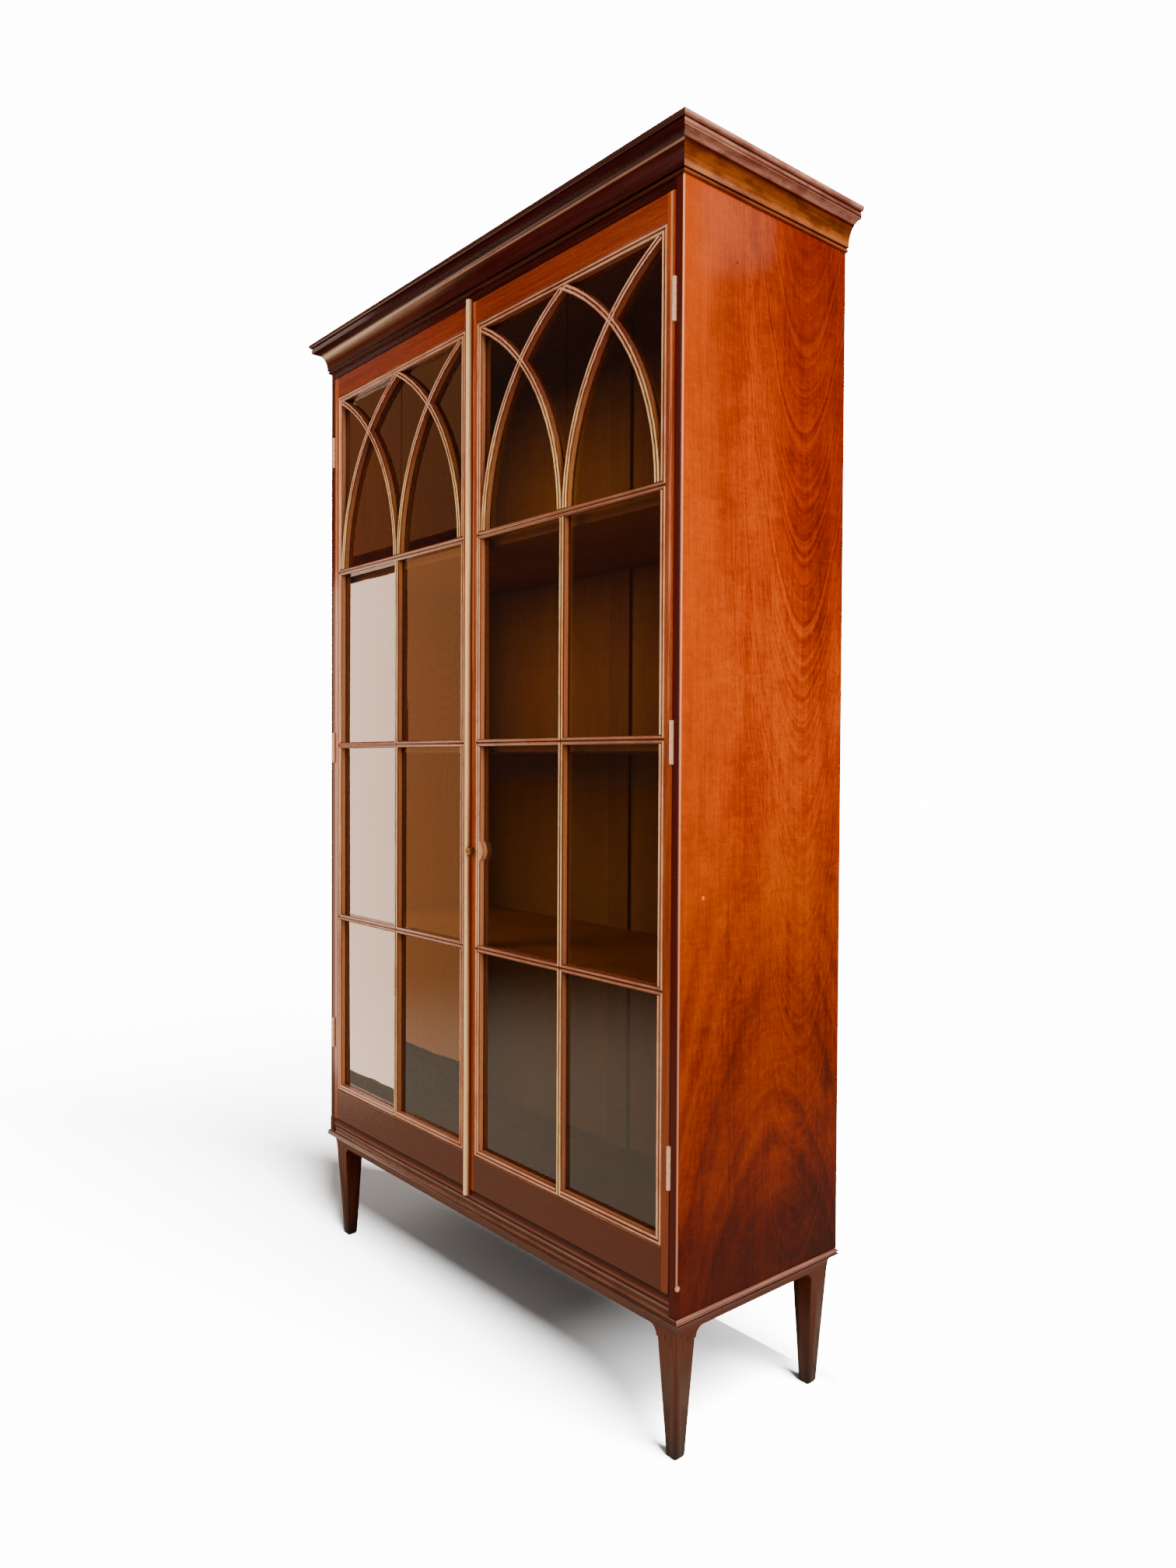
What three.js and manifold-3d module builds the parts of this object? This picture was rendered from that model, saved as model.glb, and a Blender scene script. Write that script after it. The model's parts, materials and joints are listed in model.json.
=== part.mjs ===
// Tall bookcase: a shallow case on four tapered legs, a hollow cornice, and a pair of glazed doors
// whose bars are plain rectangles below and interlaced pointed arches in the top row.
// Millimetres, +Z up. The doors face -Y, and the origin is on the floor under the middle of the whole.
import * as THREE from 'three';
import { mergeVertices } from 'three/addons/utils/BufferGeometryUtils.js';
import Module from 'manifold-3d';

const wasm = await Module();
wasm.setup();

// Case
const overallHeight = 1950;
const bodyWidth = 1078;
const bodyDepth = 378;
const sideThickness = 16;
const topThickness = 16;
const bottomThickness = 17.8;
const shelfThickness = 18;
const shelfBelowBar = 8;
const shelfBehindDoor = 11;
const shelfNosing = 3;
const shelfTongue = 11;
const housingDepth = 5;
const friezeShow = 13.8;
const friezeThickness = 28;
const friezeSetIn = 1;
const stopLipHeight = 8;
const stopLipThickness = 6;
const arrisRound = 4;
const arrisStop = 30;
const backThickness = 7;
const backRebate = 6;
const muntinWidth = 60;
const muntinThickness = 14;
const muntinRebate = 12;

// Cornice, from its underside up
const corniceHeight = 66;
const corniceOverhang = 36;
const corniceAboveTop = 4;
const corniceBead = 5;
const corniceQuirk = 1.5;
const corniceFillet = 6;
const coveRise = 36;
const coveReach = 23;
const fasciaOverhang = 31;
const fasciaHeight = 9;
const fasciaGroove = 2;
const mitreGap = 0.3;

// Stand: moulded rails and legs
const standHeight = 228;
const baseRailHeight = 30;
const baseRailThickness = 28;
const baseMouldHeight = 10;
const baseMouldOverhang = 5;
const baseMouldDrop = 2.2;
const baseFilletHeight = 12;
const baseFilletSetIn = 2.5;
const baseFilletThickness = 12;
const legInset = 10;
const legTopWidth = 42;
const legFootInset = 22;
const legFootWidth = 21;
const legArris = 1.5;
const footRound = 4;
const earRadius = 15;

// Doors
const doorThickness = 22;
const doorSideGap = 1.75;
const doorEndGap = 2.2;
const meetingGap = 2;
const hingeStileFlat = 16;
const meetingFlat = 18.7;
const topRailFlat = 41.5;
const bottomRailFlat = 65;
const mouldWidth = 13;
const reedSag = 2.2;
const glassSetback = 11;
const glassThickness = 2.4;
const glassSlot = 3;
const glassGrooveDepth = 6;
const jointGap = 0.2;
const rowCount = 4;
const crossLayerFront = 4;
const crossLayerMiddle = 3.5;
const archPastRailShare = 1.06;

// Meeting bead, on the right door
const beadWidth = 16;
const beadFillet = 3;
const beadRadius = 5.5;
const beadStilt = 1;
const beadPastTop = 5;
const beadPastBottom = 10;

// Butt hinges
const hingeLength = 64;
const hingeLeafWidth = 18;
const hingeLeafThickness = 1.2;
const hingeKnuckleRadius = 3.3;
const hingePinRadius = 1.5;
const hingePinForward = 1.5;
const hingeLeafGap = 0.5;
const hingeClearance = 0.3;
const hingeKnuckles = 5;
const lowerHingeRise = 188;
const middleHingeDrop = 8;
const upperHingeDrop = 158;

// Turning knob and spring latch, in the right door
const latchRise = 621;
const latchCaseHeight = 36;
const latchCaseDepth = 7.7;
const latchCaseWall = 1.5;
const latchCaseFromEdge = 4.5;
const latchCaseWidth = 32;
const latchBossReach = 10;
const latchBossDrop = 1;
const latchTravel = 7;
const latchTongueHeight = 8;
const latchPlateHeight = 16;
const latchBoltThickness = 3;
const latchBoltLength = 31.5;
const latchClearance = 0.3;
const latchMortiseSpare = 0.3;
const knobFromBead = 5.3;
const knobRadius = 8.5;
const knobRoseRadius = 5;
const knobRoseThickness = 1.5;
const knobNeckRadius = 3;
const knobNeckLength = 5;
const knobRimOut = 10.5;
const knobLength = 14;
const spindleRadius = 2;

// Inside bolts of the left door
const boltWidth = 8;
const boltBackWidth = 6;
const boltThickness = 3;
const boltLength = 110;
const boltTravel = 10;
const boltFromEdge = 9;
const boltClearance = 0.3;
const boltStudRadius = 3;
const boltStudLength = 3;
const boltStudFromEnd = 60;

// Room left past a cut, the distance at which corners count as one, and the fineness of round stretches
const overrun = 5;
const mergeDistance = 0.001;
const reedSteps = 4;
const coveSteps = 9;
const beadSteps = 10;
const arcSteps = 16;
const roundSides = 14;
const knobSides = 24;

// Places that follow from the sizes above
const halfWidth = bodyWidth / 2;
const backY = (bodyDepth + corniceOverhang) / 2;
const frontY = backY - bodyDepth;
const innerX = halfWidth - sideThickness;
const corniceZ = overallHeight - corniceHeight;
const caseTopZ = overallHeight - corniceAboveTop;
const topBoardZ = caseTopZ - topThickness;
const friezeZ = corniceZ - friezeShow;
const floorBoardZ = standHeight + baseFilletHeight;
const floorBoardTopZ = floorBoardZ + bottomThickness;
const panelFrontY = backY - backThickness;
const boardBackY = panelFrontY - jointGap;
const muntinFrontY = backY - muntinThickness;
const doorBottomZ = floorBoardTopZ + doorEndGap;
const doorTopZ = friezeZ - doorEndGap;
const doorEdgeX = innerX - doorSideGap;
const doorBackY = frontY + doorThickness;
const hingeBorderX = doorEdgeX - hingeStileFlat;
const meetBorderX = meetingFlat;
const borderBottomZ = doorBottomZ + bottomRailFlat;
const borderTopZ = doorTopZ - topRailFlat;
const sightOuterX = hingeBorderX - mouldWidth;
const sightInnerX = meetBorderX + mouldWidth;
const sightBottomZ = borderBottomZ + mouldWidth;
const sightTopZ = borderTopZ - mouldWidth;
const barX = (sightOuterX + sightInnerX) / 2;
const rowPitch = (sightTopZ - sightBottomZ + mouldWidth) / rowCount;
const rightEdgeX = -beadWidth / 2;
const leftEdgeX = rightEdgeX - meetingGap;
const seamY = frontY + glassSetback;
const glassFrontY = frontY + glassSetback + (glassSlot - glassThickness) / 2;
const pinX = innerX - doorSideGap / 2;
const pinY = frontY - hingePinForward;
const lowerHingeZ = doorBottomZ + lowerHingeRise;
const upperHingeZ = doorTopZ - upperHingeDrop;
const middleHingeZ = (lowerHingeZ + upperHingeZ) / 2 - middleHingeDrop;
const latchZ = doorBottomZ + latchRise;

// The cross bars, counted from the bottom, and how high each one's middle lies; a shelf goes with each
const barRows = Array.from({ length: rowCount - 1 }, (_, i) => i + 1);
const barHeight = (row) => sightBottomZ - mouldWidth / 2 + row * rowPitch;
const springZ = barHeight(rowCount - 1);

// Finishes
const finish = (color, roughness, metalness = 0) => {
	return new THREE.MeshStandardMaterial({ color, roughness, metalness });
};
const figuredWood = () => finish(0x9c4a1c, 0.35);
const darkWood = () => finish(0x5a2c18, 0.4);
const barWood = () => finish(0x9a6238, 0.4);
const plainWood = () => finish(0x4a2a1a, 0.6);
const brass = () => finish(0xd2a878, 0.3, 1);
const clearGlass = () => {
	const material = finish(0x33291f, 0.05);
	material.transparent = true;
	material.opacity = 0.35;
	return material;
};

// Solids: closed meshes that can be joined and cut
const toSolid = (geometry) => {
	const plain = (geometry.index ? geometry.toNonIndexed() : geometry).clone();
	plain.deleteAttribute('normal');
	plain.deleteAttribute('uv');
	const merged = mergeVertices(plain, mergeDistance);
	const vertProperties = new Float32Array(merged.attributes.position.array);
	const triVerts = new Uint32Array(merged.index.array);
	return new wasm.Manifold(new wasm.Mesh({ numProp: 3, vertProperties, triVerts }));
};

const join = (first, ...others) => others.reduce((sum, next) => sum.add(next), first);
const cut = (first, ...others) => others.reduce((rest, next) => rest.subtract(next), first);
const meet = (first, ...others) => others.reduce((common, next) => common.intersect(next), first);

const toMesh = (name, solid, material) => {
	const { vertProperties, triVerts } = solid.getMesh();
	const geometry = new THREE.BufferGeometry();
	geometry.setAttribute('position', new THREE.BufferAttribute(new Float32Array(vertProperties), 3));
	geometry.setIndex(new THREE.BufferAttribute(new Uint32Array(triVerts), 1));
	geometry.computeVertexNormals();
	const mesh = new THREE.Mesh(geometry, material);
	mesh.name = name;
	return mesh;
};

const axisX = new THREE.Vector3(1, 0, 0);
const axisY = new THREE.Vector3(0, 1, 0);
const axisZ = new THREE.Vector3(0, 0, 1);

const extruded = (points, length) => {
	const shape = new THREE.Shape(points.map(([a, b]) => new THREE.Vector2(a, b)));
	return new THREE.ExtrudeGeometry(shape, { depth: length, bevelEnabled: false });
};

// An (x, y) outline raised from z0 to z1
const raise = (points, z0, z1) => {
	const geometry = extruded(points, z1 - z0);
	geometry.translate(0, 0, z0);
	return toSolid(geometry);
};

// A (y, z) outline run from x0 to x1
const runAcross = (points, x0, x1) => {
	const geometry = extruded(points, x1 - x0);
	geometry.applyMatrix4(new THREE.Matrix4().makeBasis(axisY, axisZ, axisX));
	geometry.translate(x0, 0, 0);
	return toSolid(geometry);
};

// An (x, z) outline run from y0 to y1
const runBack = (points, y0, y1) => {
	const geometry = extruded(points, y1 - y0);
	geometry.applyMatrix4(new THREE.Matrix4().makeBasis(axisX, axisZ, axisY.clone().negate()));
	geometry.translate(0, y1, 0);
	return toSolid(geometry);
};

const block = (x0, x1, y0, y1, z0, z1) => {
	const geometry = new THREE.BoxGeometry(Math.abs(x1 - x0), y1 - y0, z1 - z0);
	geometry.translate((x0 + x1) / 2, (y0 + y1) / 2, (z0 + z1) / 2);
	return toSolid(geometry);
};

const rod = (radius, z0, z1, sides = roundSides) => {
	const geometry = new THREE.CylinderGeometry(radius, radius, z1 - z0, sides);
	geometry.rotateX(Math.PI / 2);
	geometry.translate(0, 0, (z0 + z1) / 2);
	return toSolid(geometry);
};

const signedVolume = (positions, faces) => {
	const corner = (i) => new THREE.Vector3().fromArray(positions, faces[i] * 3);
	let volume = 0;
	for (let i = 0; i < faces.length; i += 3) volume += corner(i).dot(corner(i + 1).cross(corner(i + 2)));
	return volume;
};

// One outline carried through a row of places; place(point, step) gives each corner
const loft = (outline, steps, place) => {
	const flat = outline.map(([a, b]) => new THREE.Vector2(a, b));
	const caps = THREE.ShapeUtils.triangulateShape(flat, []);
	const count = outline.length;
	const positions = [];
	for (let step = 0; step <= steps; step++) {
		for (const point of outline) positions.push(...place(point, step));
	}
	const faces = [];
	for (let step = 0; step < steps; step++) {
		for (let i = 0; i < count; i++) {
			const next = (i + 1) % count;
			const [a, b] = [step * count + i, step * count + next];
			faces.push(a, b, b + count, a, b + count, a + count);
		}
	}
	const last = steps * count;
	for (const [a, b, c] of caps) faces.push(a, c, b, last + a, last + b, last + c);
	const geometry = new THREE.BufferGeometry();
	geometry.setAttribute('position', new THREE.Float32BufferAttribute(positions, 3));
	geometry.setIndex(signedVolume(positions, faces) < 0 ? faces.reverse() : faces);
	return toSolid(geometry);
};

// Points on an arc of an ellipse, both ends included, angles in radians
const arcPoints = (centreA, centreB, radiusA, radiusB, from, to, steps) => {
	const points = [];
	for (let i = 0; i <= steps; i++) {
		const angle = from + (to - from) * i / steps;
		points.push([centreA + radiusA * Math.cos(angle), centreB + radiusB * Math.sin(angle)]);
	}
	return points;
};

// Two rounded reeds side by side, from start to start + width; the second value is depth
const reedPair = (start, width, sag) => {
	const reed = width / 2;
	const points = [[start, sag]];
	for (let r = 0; r < 2; r++) {
		for (let i = 1; i <= reedSteps; i++) {
			const across = i / reedSteps;
			points.push([start + reed * (r + across), sag * (1 - Math.sin(Math.PI * across))]);
		}
	}
	return points;
};

// Section of a glazing bar, centred, as [across, depth]
const barSection = () => [
	...reedPair(-mouldWidth / 2, mouldWidth, reedSag),
	[mouldWidth / 2, glassSetback],
	[-mouldWidth / 2, glassSetback],
];

// Section of a stile or rail with its reeded edge and glass groove, as [across, depth]
const frameSection = (flat) => {
	const total = flat + mouldWidth;
	return [
		[0, 0],
		[flat, 0],
		...reedPair(flat, mouldWidth, reedSag),
		[total, glassSetback],
		[total - glassGrooveDepth, glassSetback],
		[total - glassGrooveDepth, glassSetback + glassSlot],
		[total, glassSetback + glassSlot],
		[total, doorThickness],
		[0, doorThickness],
	];
};

// Case boards

// Mortise of a frame leaf and of its knuckle in the side board, made for the right
const frameLeafRoom = (z) => {
	const reach = hingeLength / 2 + hingeClearance;
	const leafX = pinX + hingeLeafGap / 2 + hingeLeafThickness + hingeClearance;
	const leafBackY = frontY + hingeLeafWidth + hingeClearance;
	const knuckle = rod(hingeKnuckleRadius + hingeClearance, z - reach, z + reach).translate([pinX, pinY, 0]);
	return join(block(pinX, leafX, frontY - overrun, leafBackY, z - reach, z + reach), knuckle);
};

const doorLeafRoom = (z) => {
	const reach = hingeLength / 2 + hingeClearance;
	const leafX = pinX - hingeLeafGap / 2 - hingeLeafThickness - hingeClearance;
	const leafBackY = frontY + hingeLeafWidth + hingeClearance;
	const knuckle = rod(hingeKnuckleRadius + hingeClearance, z - reach, z + reach).translate([pinX, pinY, 0]);
	return join(block(leafX, pinX, frontY - overrun, leafBackY, z - reach, z + reach), knuckle);
};

const hingeHeights = { lower: lowerHingeZ, middle: middleHingeZ, upper: upperHingeZ };

const shelfTop = (row) => barHeight(row) - shelfBelowBar + shelfThickness / 2;
const shelfFrontY = doorBackY + shelfBehindDoor;

// The quarter round taken off the outer front corner of a side, stopped short of the bottom
const arrisCut = () => {
	const [x, y] = [halfWidth, frontY];
	const round = arcPoints(x - arrisRound, y + arrisRound, arrisRound, arrisRound, -Math.PI / 2, 0, reedSteps);
	const outline = [...round, [x + overrun, y + arrisRound], [x + overrun, y - overrun],
		[x - arrisRound, y - overrun]];
	return raise(outline, standHeight + arrisStop, corniceZ);
};

const sideBoard = () => {
	const board = block(innerX, halfWidth, frontY, backY, standHeight, caseTopZ);
	const rebate = block(innerX - overrun, innerX + backRebate, panelFrontY, backY + overrun, floorBoardZ - jointGap,
		caseTopZ + overrun);
	const housings = barRows.map((row) => {
		const tongueZ = shelfTop(row) - shelfThickness;
		return block(innerX - overrun, innerX + housingDepth, shelfFrontY - jointGap, boardBackY + overrun,
			tongueZ - jointGap, tongueZ + shelfTongue + jointGap);
	});
	const mortises = Object.values(hingeHeights).map(frameLeafRoom);
	return cut(board, rebate, arrisCut(), ...housings, ...mortises);
};

// A shelf with a rounded front edge; the lower part of each end goes on as a tongue into its housing
const shelf = () => {
	const reach = innerX + housingDepth - jointGap;
	const noseY = shelfFrontY + shelfNosing;
	const over = arcPoints(noseY, -shelfNosing, shelfNosing, shelfNosing, Math.PI, Math.PI / 2, reedSteps);
	const under = arcPoints(noseY, shelfNosing - shelfThickness, shelfNosing, shelfNosing,
		Math.PI * 3 / 2, Math.PI, reedSteps);
	const shelfBackY = muntinFrontY - jointGap;
	const board = runAcross([...over, [shelfBackY, 0], [shelfBackY, -shelfThickness], ...under], -reach, reach);
	const aboveTongue = (x0, x1) => block(x0, x1, shelfFrontY - overrun, shelfBackY + overrun,
		shelfTongue - shelfThickness, overrun);
	const shoulder = innerX - jointGap;
	return cut(board, aboveTongue(shoulder, reach + overrun), aboveTongue(-reach - overrun, -shoulder));
};

// The floor of the case, notched at the back for the muntin
const bottomBoard = () => {
	const reach = innerX - jointGap;
	const board = block(-reach, reach, frontY + friezeSetIn, boardBackY, floorBoardZ, floorBoardTopZ);
	const notchReach = muntinWidth / 2 + jointGap;
	const notch = block(-notchReach, notchReach, muntinFrontY - jointGap, boardBackY + overrun,
		floorBoardZ - overrun, floorBoardTopZ + overrun);
	return cut(board, notch, boltRoom(floorBoardTopZ - boltTravel - overrun / 2, floorBoardTopZ + overrun));
};

const topBoard = () => {
	const reach = innerX - jointGap;
	return block(-reach, reach, frontY + friezeSetIn, boardBackY, topBoardZ, caseTopZ);
};

// The rail over the doors, with the lip that they close against
const friezeRail = () => {
	const reach = innerX - jointGap;
	const railFrontY = frontY + friezeSetIn;
	const railBackY = railFrontY + friezeThickness;
	const railTopZ = topBoardZ - jointGap;
	const lipZ = friezeZ - stopLipHeight;
	const lipY = doorBackY + jointGap;
	const lipBackY = Math.max(lipY + stopLipThickness, railBackY);
	const outline = [[railFrontY, friezeZ], [lipY, friezeZ], [lipY, lipZ], [lipBackY, lipZ], [lipBackY, railTopZ],
		[railFrontY, railTopZ]];
	return cut(runAcross(outline, -reach, reach), boltRoom(friezeZ - overrun, friezeZ + boltTravel + overrun / 2));
};

// The back: two thin panels held by the rebates of the sides and of a centre muntin
const backPanel = () => {
	const inner = muntinWidth / 2 - muntinRebate + jointGap;
	const outer = innerX + backRebate - jointGap;
	return block(inner, outer, panelFrontY, backY, floorBoardZ, caseTopZ);
};

const backMuntin = () => {
	const half = muntinWidth / 2;
	const waist = half - muntinRebate;
	const rebateY = panelFrontY - jointGap;
	const outline = [[-half, muntinFrontY], [half, muntinFrontY], [half, rebateY], [waist, rebateY],
		[waist, backY], [-waist, backY], [-waist, rebateY], [-half, rebateY]];
	return raise(outline, floorBoardZ, topBoardZ - jointGap);
};

// Cornice section as [outward, up] from the case face at the cornice's underside
const corniceSection = () => {
	const beadHalf = corniceBead / 2;
	const filletBottom = corniceBead + corniceQuirk;
	const coveBottom = filletBottom + beadHalf;
	const coveTop = coveBottom + coveRise;
	const fasciaTop = coveTop + fasciaHeight;
	const torusBottom = fasciaTop + fasciaGroove;
	const torusHalf = (corniceHeight - torusBottom) / 2;
	const coveInner = corniceFillet + coveReach;
	const torusX = corniceOverhang - torusHalf;
	return [
		[0, 0],
		...arcPoints(beadHalf, beadHalf, beadHalf, beadHalf, -Math.PI / 2, Math.PI / 2, reedSteps),
		[beadHalf, filletBottom],
		[corniceFillet, filletBottom],
		...arcPoints(coveInner, coveBottom, coveReach, coveRise, Math.PI, Math.PI / 2, coveSteps),
		[fasciaOverhang, coveTop],
		[fasciaOverhang, fasciaTop],
		[fasciaOverhang - fasciaGroove, fasciaTop],
		[fasciaOverhang - fasciaGroove, torusBottom],
		...arcPoints(torusX, torusBottom + torusHalf, torusHalf, torusHalf, -Math.PI / 2, Math.PI / 2, reedSteps * 2),
		[0, corniceHeight],
	];
};

const corniceFront = () => {
	const outline = corniceSection().map(([out, up]) => [frontY - out, corniceZ + up]);
	const past = corniceOverhang + overrun;
	const length = runAcross(outline, -halfWidth - past, halfWidth + past);
	const mitre = [[-halfWidth, frontY], [halfWidth, frontY], [halfWidth + past, frontY - past],
		[-halfWidth - past, frontY - past]];
	return meet(length, raise(mitre, corniceZ - overrun, overallHeight + overrun));
};

const corniceSide = (side) => {
	const outline = corniceSection().map(([out, up]) => [side * (halfWidth + out), corniceZ + up]);
	const past = corniceOverhang + overrun;
	const length = runBack(outline, frontY - past, backY);
	const startY = frontY + mitreGap;
	const mitre = [[side * halfWidth, backY + overrun], [side * halfWidth, startY],
		[side * (halfWidth + past), startY - past], [side * (halfWidth + past), backY + overrun]];
	return meet(length, raise(mitre, corniceZ - overrun, overallHeight + overrun));
};

// Base rail section as [outward, up] from the case face at the rail's underside: a hollow, then two reeds
const baseSection = (overhang) => {
	const mouldZ = baseRailHeight - baseMouldHeight;
	const neck = overhang - baseMouldDrop;
	const reeds = reedPair(mouldZ, baseMouldHeight, baseMouldDrop).map(([up, drop]) => [overhang - drop, up]);
	return [
		[-baseRailThickness, 0],
		...arcPoints(neck - baseMouldDrop, 0, neck - baseMouldDrop + legInset, mouldZ, Math.PI, Math.PI / 2, coveSteps),
		...reeds,
		[-baseRailThickness, baseRailHeight],
	];
};

const railZ = standHeight - baseRailHeight;

const baseRailFront = () => {
	const outline = baseSection(baseMouldOverhang).map(([out, up]) => [frontY - out, railZ + up]);
	const past = baseMouldOverhang + overrun;
	const inset = baseRailThickness + overrun;
	const length = runAcross(outline, -halfWidth - past, halfWidth + past);
	const mitre = [[-halfWidth + inset, frontY + inset], [halfWidth - inset, frontY + inset],
		[halfWidth + past, frontY - past], [-halfWidth - past, frontY - past]];
	const fillet = block(-innerX + jointGap, innerX - jointGap, frontY + baseFilletSetIn,
		frontY + baseFilletThickness, standHeight - jointGap, floorBoardZ);
	return join(meet(length, raise(mitre, railZ - overrun, standHeight + overrun)), fillet);
};

const baseRailSide = (side) => {
	const outline = baseSection(baseMouldOverhang).map(([out, up]) => [side * (halfWidth + out), railZ + up]);
	const past = baseMouldOverhang + overrun;
	const inset = baseRailThickness + overrun;
	const startY = frontY + mitreGap;
	const length = runBack(outline, frontY - past, backY);
	const mitre = [[side * (halfWidth - inset), backY + overrun], [side * (halfWidth - inset), startY + inset],
		[side * (halfWidth + past), startY - past], [side * (halfWidth + past), backY + overrun]];
	return meet(length, raise(mitre, railZ - overrun, standHeight + overrun), backProfile());
};

// Everything in front of the hollow that runs along the back of the stand
const backProfile = () => {
	const outline = baseSection(0).map(([out, up]) => [backY + out, railZ + up]);
	const past = halfWidth + corniceOverhang;
	const hollow = runAcross(outline, -past, past);
	return join(hollow, block(-past, past, frontY - past, backY - baseRailThickness + overrun, railZ, standHeight));
};

const baseRailBack = () => {
	const outline = baseSection(0).map(([out, up]) => [backY + out, railZ + up]);
	const reach = halfWidth - baseRailThickness - jointGap;
	return runAcross(outline, -reach, reach);
};

// A tapered leg for the corner at the lowest x and y, with rounded ears into both rails
const leg = () => {
	const ring = [[0, 1], [1, 0], [2, 0], [3, 1], [3, 2], [2, 3], [1, 3], [0, 2]];
	const levels = [
		{ z: 0, inset: legFootInset + footRound / 2, width: legFootWidth - footRound, arris: footRound / 2 },
		{ z: footRound, inset: legFootInset, width: legFootWidth, arris: legArris },
		{ z: railZ, inset: legInset, width: legTopWidth, arris: legArris },
	];
	const post = loft(ring, levels.length - 1, ([a, b], step) => {
		const { z, inset, width, arris } = levels[step];
		const along = [0, arris, width - arris, width];
		return [inset + along[a], inset + along[b], z];
	});
	const innerEdge = legInset + legTopWidth;
	const earDepth = baseRailThickness - legInset;
	const earBack = innerEdge - earDepth;
	const ear = [
		[earBack, railZ],
		[earBack, railZ - earRadius],
		...arcPoints(innerEdge + earRadius, railZ - earRadius, earRadius, earRadius, Math.PI, Math.PI / 2, coveSteps),
	];
	const earX = runBack(ear, legInset, legInset + earDepth);
	const earY = runAcross(ear, legInset, legInset + earDepth);
	return join(post, earX, earY);
};

// Door frame

// Outline of a stile as seen from the front, mitred where its reeded edge meets the rails. Behind the
// reeded edge the stile keeps its full width from end to end, and the rails butt against it.
const stileRegion = (outer, border, sight) => [
	[outer, doorBottomZ],
	[border, doorBottomZ],
	[border, borderBottomZ],
	[sight, sightBottomZ],
	[sight, sightTopZ],
	[border, borderTopZ],
	[border, doorTopZ],
	[outer, doorTopZ],
];

// Room for the pointed end of a bar in a stile or rail: full width, then a right-angled point at the border
const barTip = (border, sight, centre, gap) => {
	const inward = Math.sign(sight - border);
	const half = mouldWidth / 2 + gap;
	const shoulder = border + inward * mouldWidth / 2;
	const end = sight + inward * overrun;
	return [[border, centre], [shoulder, centre - half], [end, centre - half], [end, centre + half],
		[shoulder, centre + half]];
};

const stile = (side, outer, flat, border, sight) => {
	const inward = Math.sign(sight - outer);
	const section = frameSection(flat).map(([across, depth]) => [outer + inward * across, frontY + depth]);
	const mitred = runBack(stileRegion(outer, border, sight), frontY - overrun, doorBackY + overrun);
	const ends = [outer, sight].sort((a, b) => a - b);
	const behind = block(...ends, seamY, doorBackY + overrun, doorBottomZ, doorTopZ);
	const region = join(mitred, behind);
	const tips = barRows.map((row) => runBack(barTip(border, sight, barHeight(row), jointGap), frontY - overrun,
		frontY + glassSetback));
	return cut(meet(raise(section, doorBottomZ, doorTopZ), region), ...tips);
};

const hingeStile = (side) => {
	const plain = stile(side, side * doorEdgeX, hingeStileFlat, side * hingeBorderX, side * sightOuterX);
	return cut(plain, ...Object.values(hingeHeights).map((z) => onSide(side, doorLeafRoom(z))));
};

// The same solid on the right, or its mirror image on the left
const onSide = (side, solid) => (side > 0 ? solid : solid.mirror([1, 0, 0]));

const rail = (side, end) => {
	const top = end === 'top';
	const flat = top ? topRailFlat : bottomRailFlat;
	const [edge, border, sight] = top
		? [doorTopZ, borderTopZ, sightTopZ]
		: [doorBottomZ, borderBottomZ, sightBottomZ];
	const inward = Math.sign(sight - edge);
	const section = frameSection(flat).map(([across, depth]) => [frontY + depth, edge + inward * across]);
	const outerX = hingeBorderX - jointGap;
	const innerEnd = meetBorderX + jointGap;
	const region = [[innerEnd, edge], [outerX, edge], [outerX, border], [outerX - mouldWidth, sight],
		[innerEnd + mouldWidth, sight], [innerEnd, border]].map(([x, z]) => [side * x, z]);
	const ends = [side * innerEnd, side * outerX].sort((a, b) => a - b);
	const mitred = runBack(region, frontY - overrun, seamY - jointGap);
	const shoulders = [side * (sightInnerX + jointGap), side * (sightOuterX - jointGap)].sort((a, b) => a - b);
	const between = block(...shoulders, frontY - overrun, doorBackY + overrun, doorBottomZ, doorTopZ);
	const solid = meet(runAcross(section, ...ends), join(mitred, between));
	return top ? solid : cut(solid, footOfBar(side, jointGap));
};

// The pointed foot of the centre bar in the reeded edge of the bottom rail
const footOfBar = (side, gap) => {
	const outline = barTip(borderBottomZ, sightBottomZ, side * barX, gap).map(([z, x]) => [x, z]);
	return runBack(outline, frontY - overrun, frontY + glassSetback);
};

// Glazing bars: each crossing is halved, with its reeds mitred in the front layer
const crossingCut = (side, row, openings) => {
	const [x, z] = [side * barX, barHeight(row)];
	const half = mouldWidth / 2 + jointGap;
	const middleY = frontY + crossLayerFront;
	const rearY = middleY + crossLayerMiddle;
	const rearEndY = frontY + glassSetback + overrun;
	const square = [[x - half, z - half], [x + half, z - half], [x + half, z + half], [x - half, z + half]];
	if (openings === 'upright') {
		const left = [[x - half, z - half], [x + jointGap, z], [x - half, z + half]];
		const right = [[x + half, z - half], [x - jointGap, z], [x + half, z + half]];
		return join(runBack(left, frontY - overrun, middleY), runBack(right, frontY - overrun, middleY),
			runBack(square, middleY - jointGap, rearY + jointGap));
	}
	const below = [[x - half, z - half], [x + half, z - half], [x, z + jointGap]];
	const above = [[x - half, z + half], [x + half, z + half], [x, z - jointGap]];
	return join(runBack(below, frontY - overrun, middleY), runBack(above, frontY - overrun, middleY),
		runBack(square, rearY, rearEndY));
};

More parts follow.
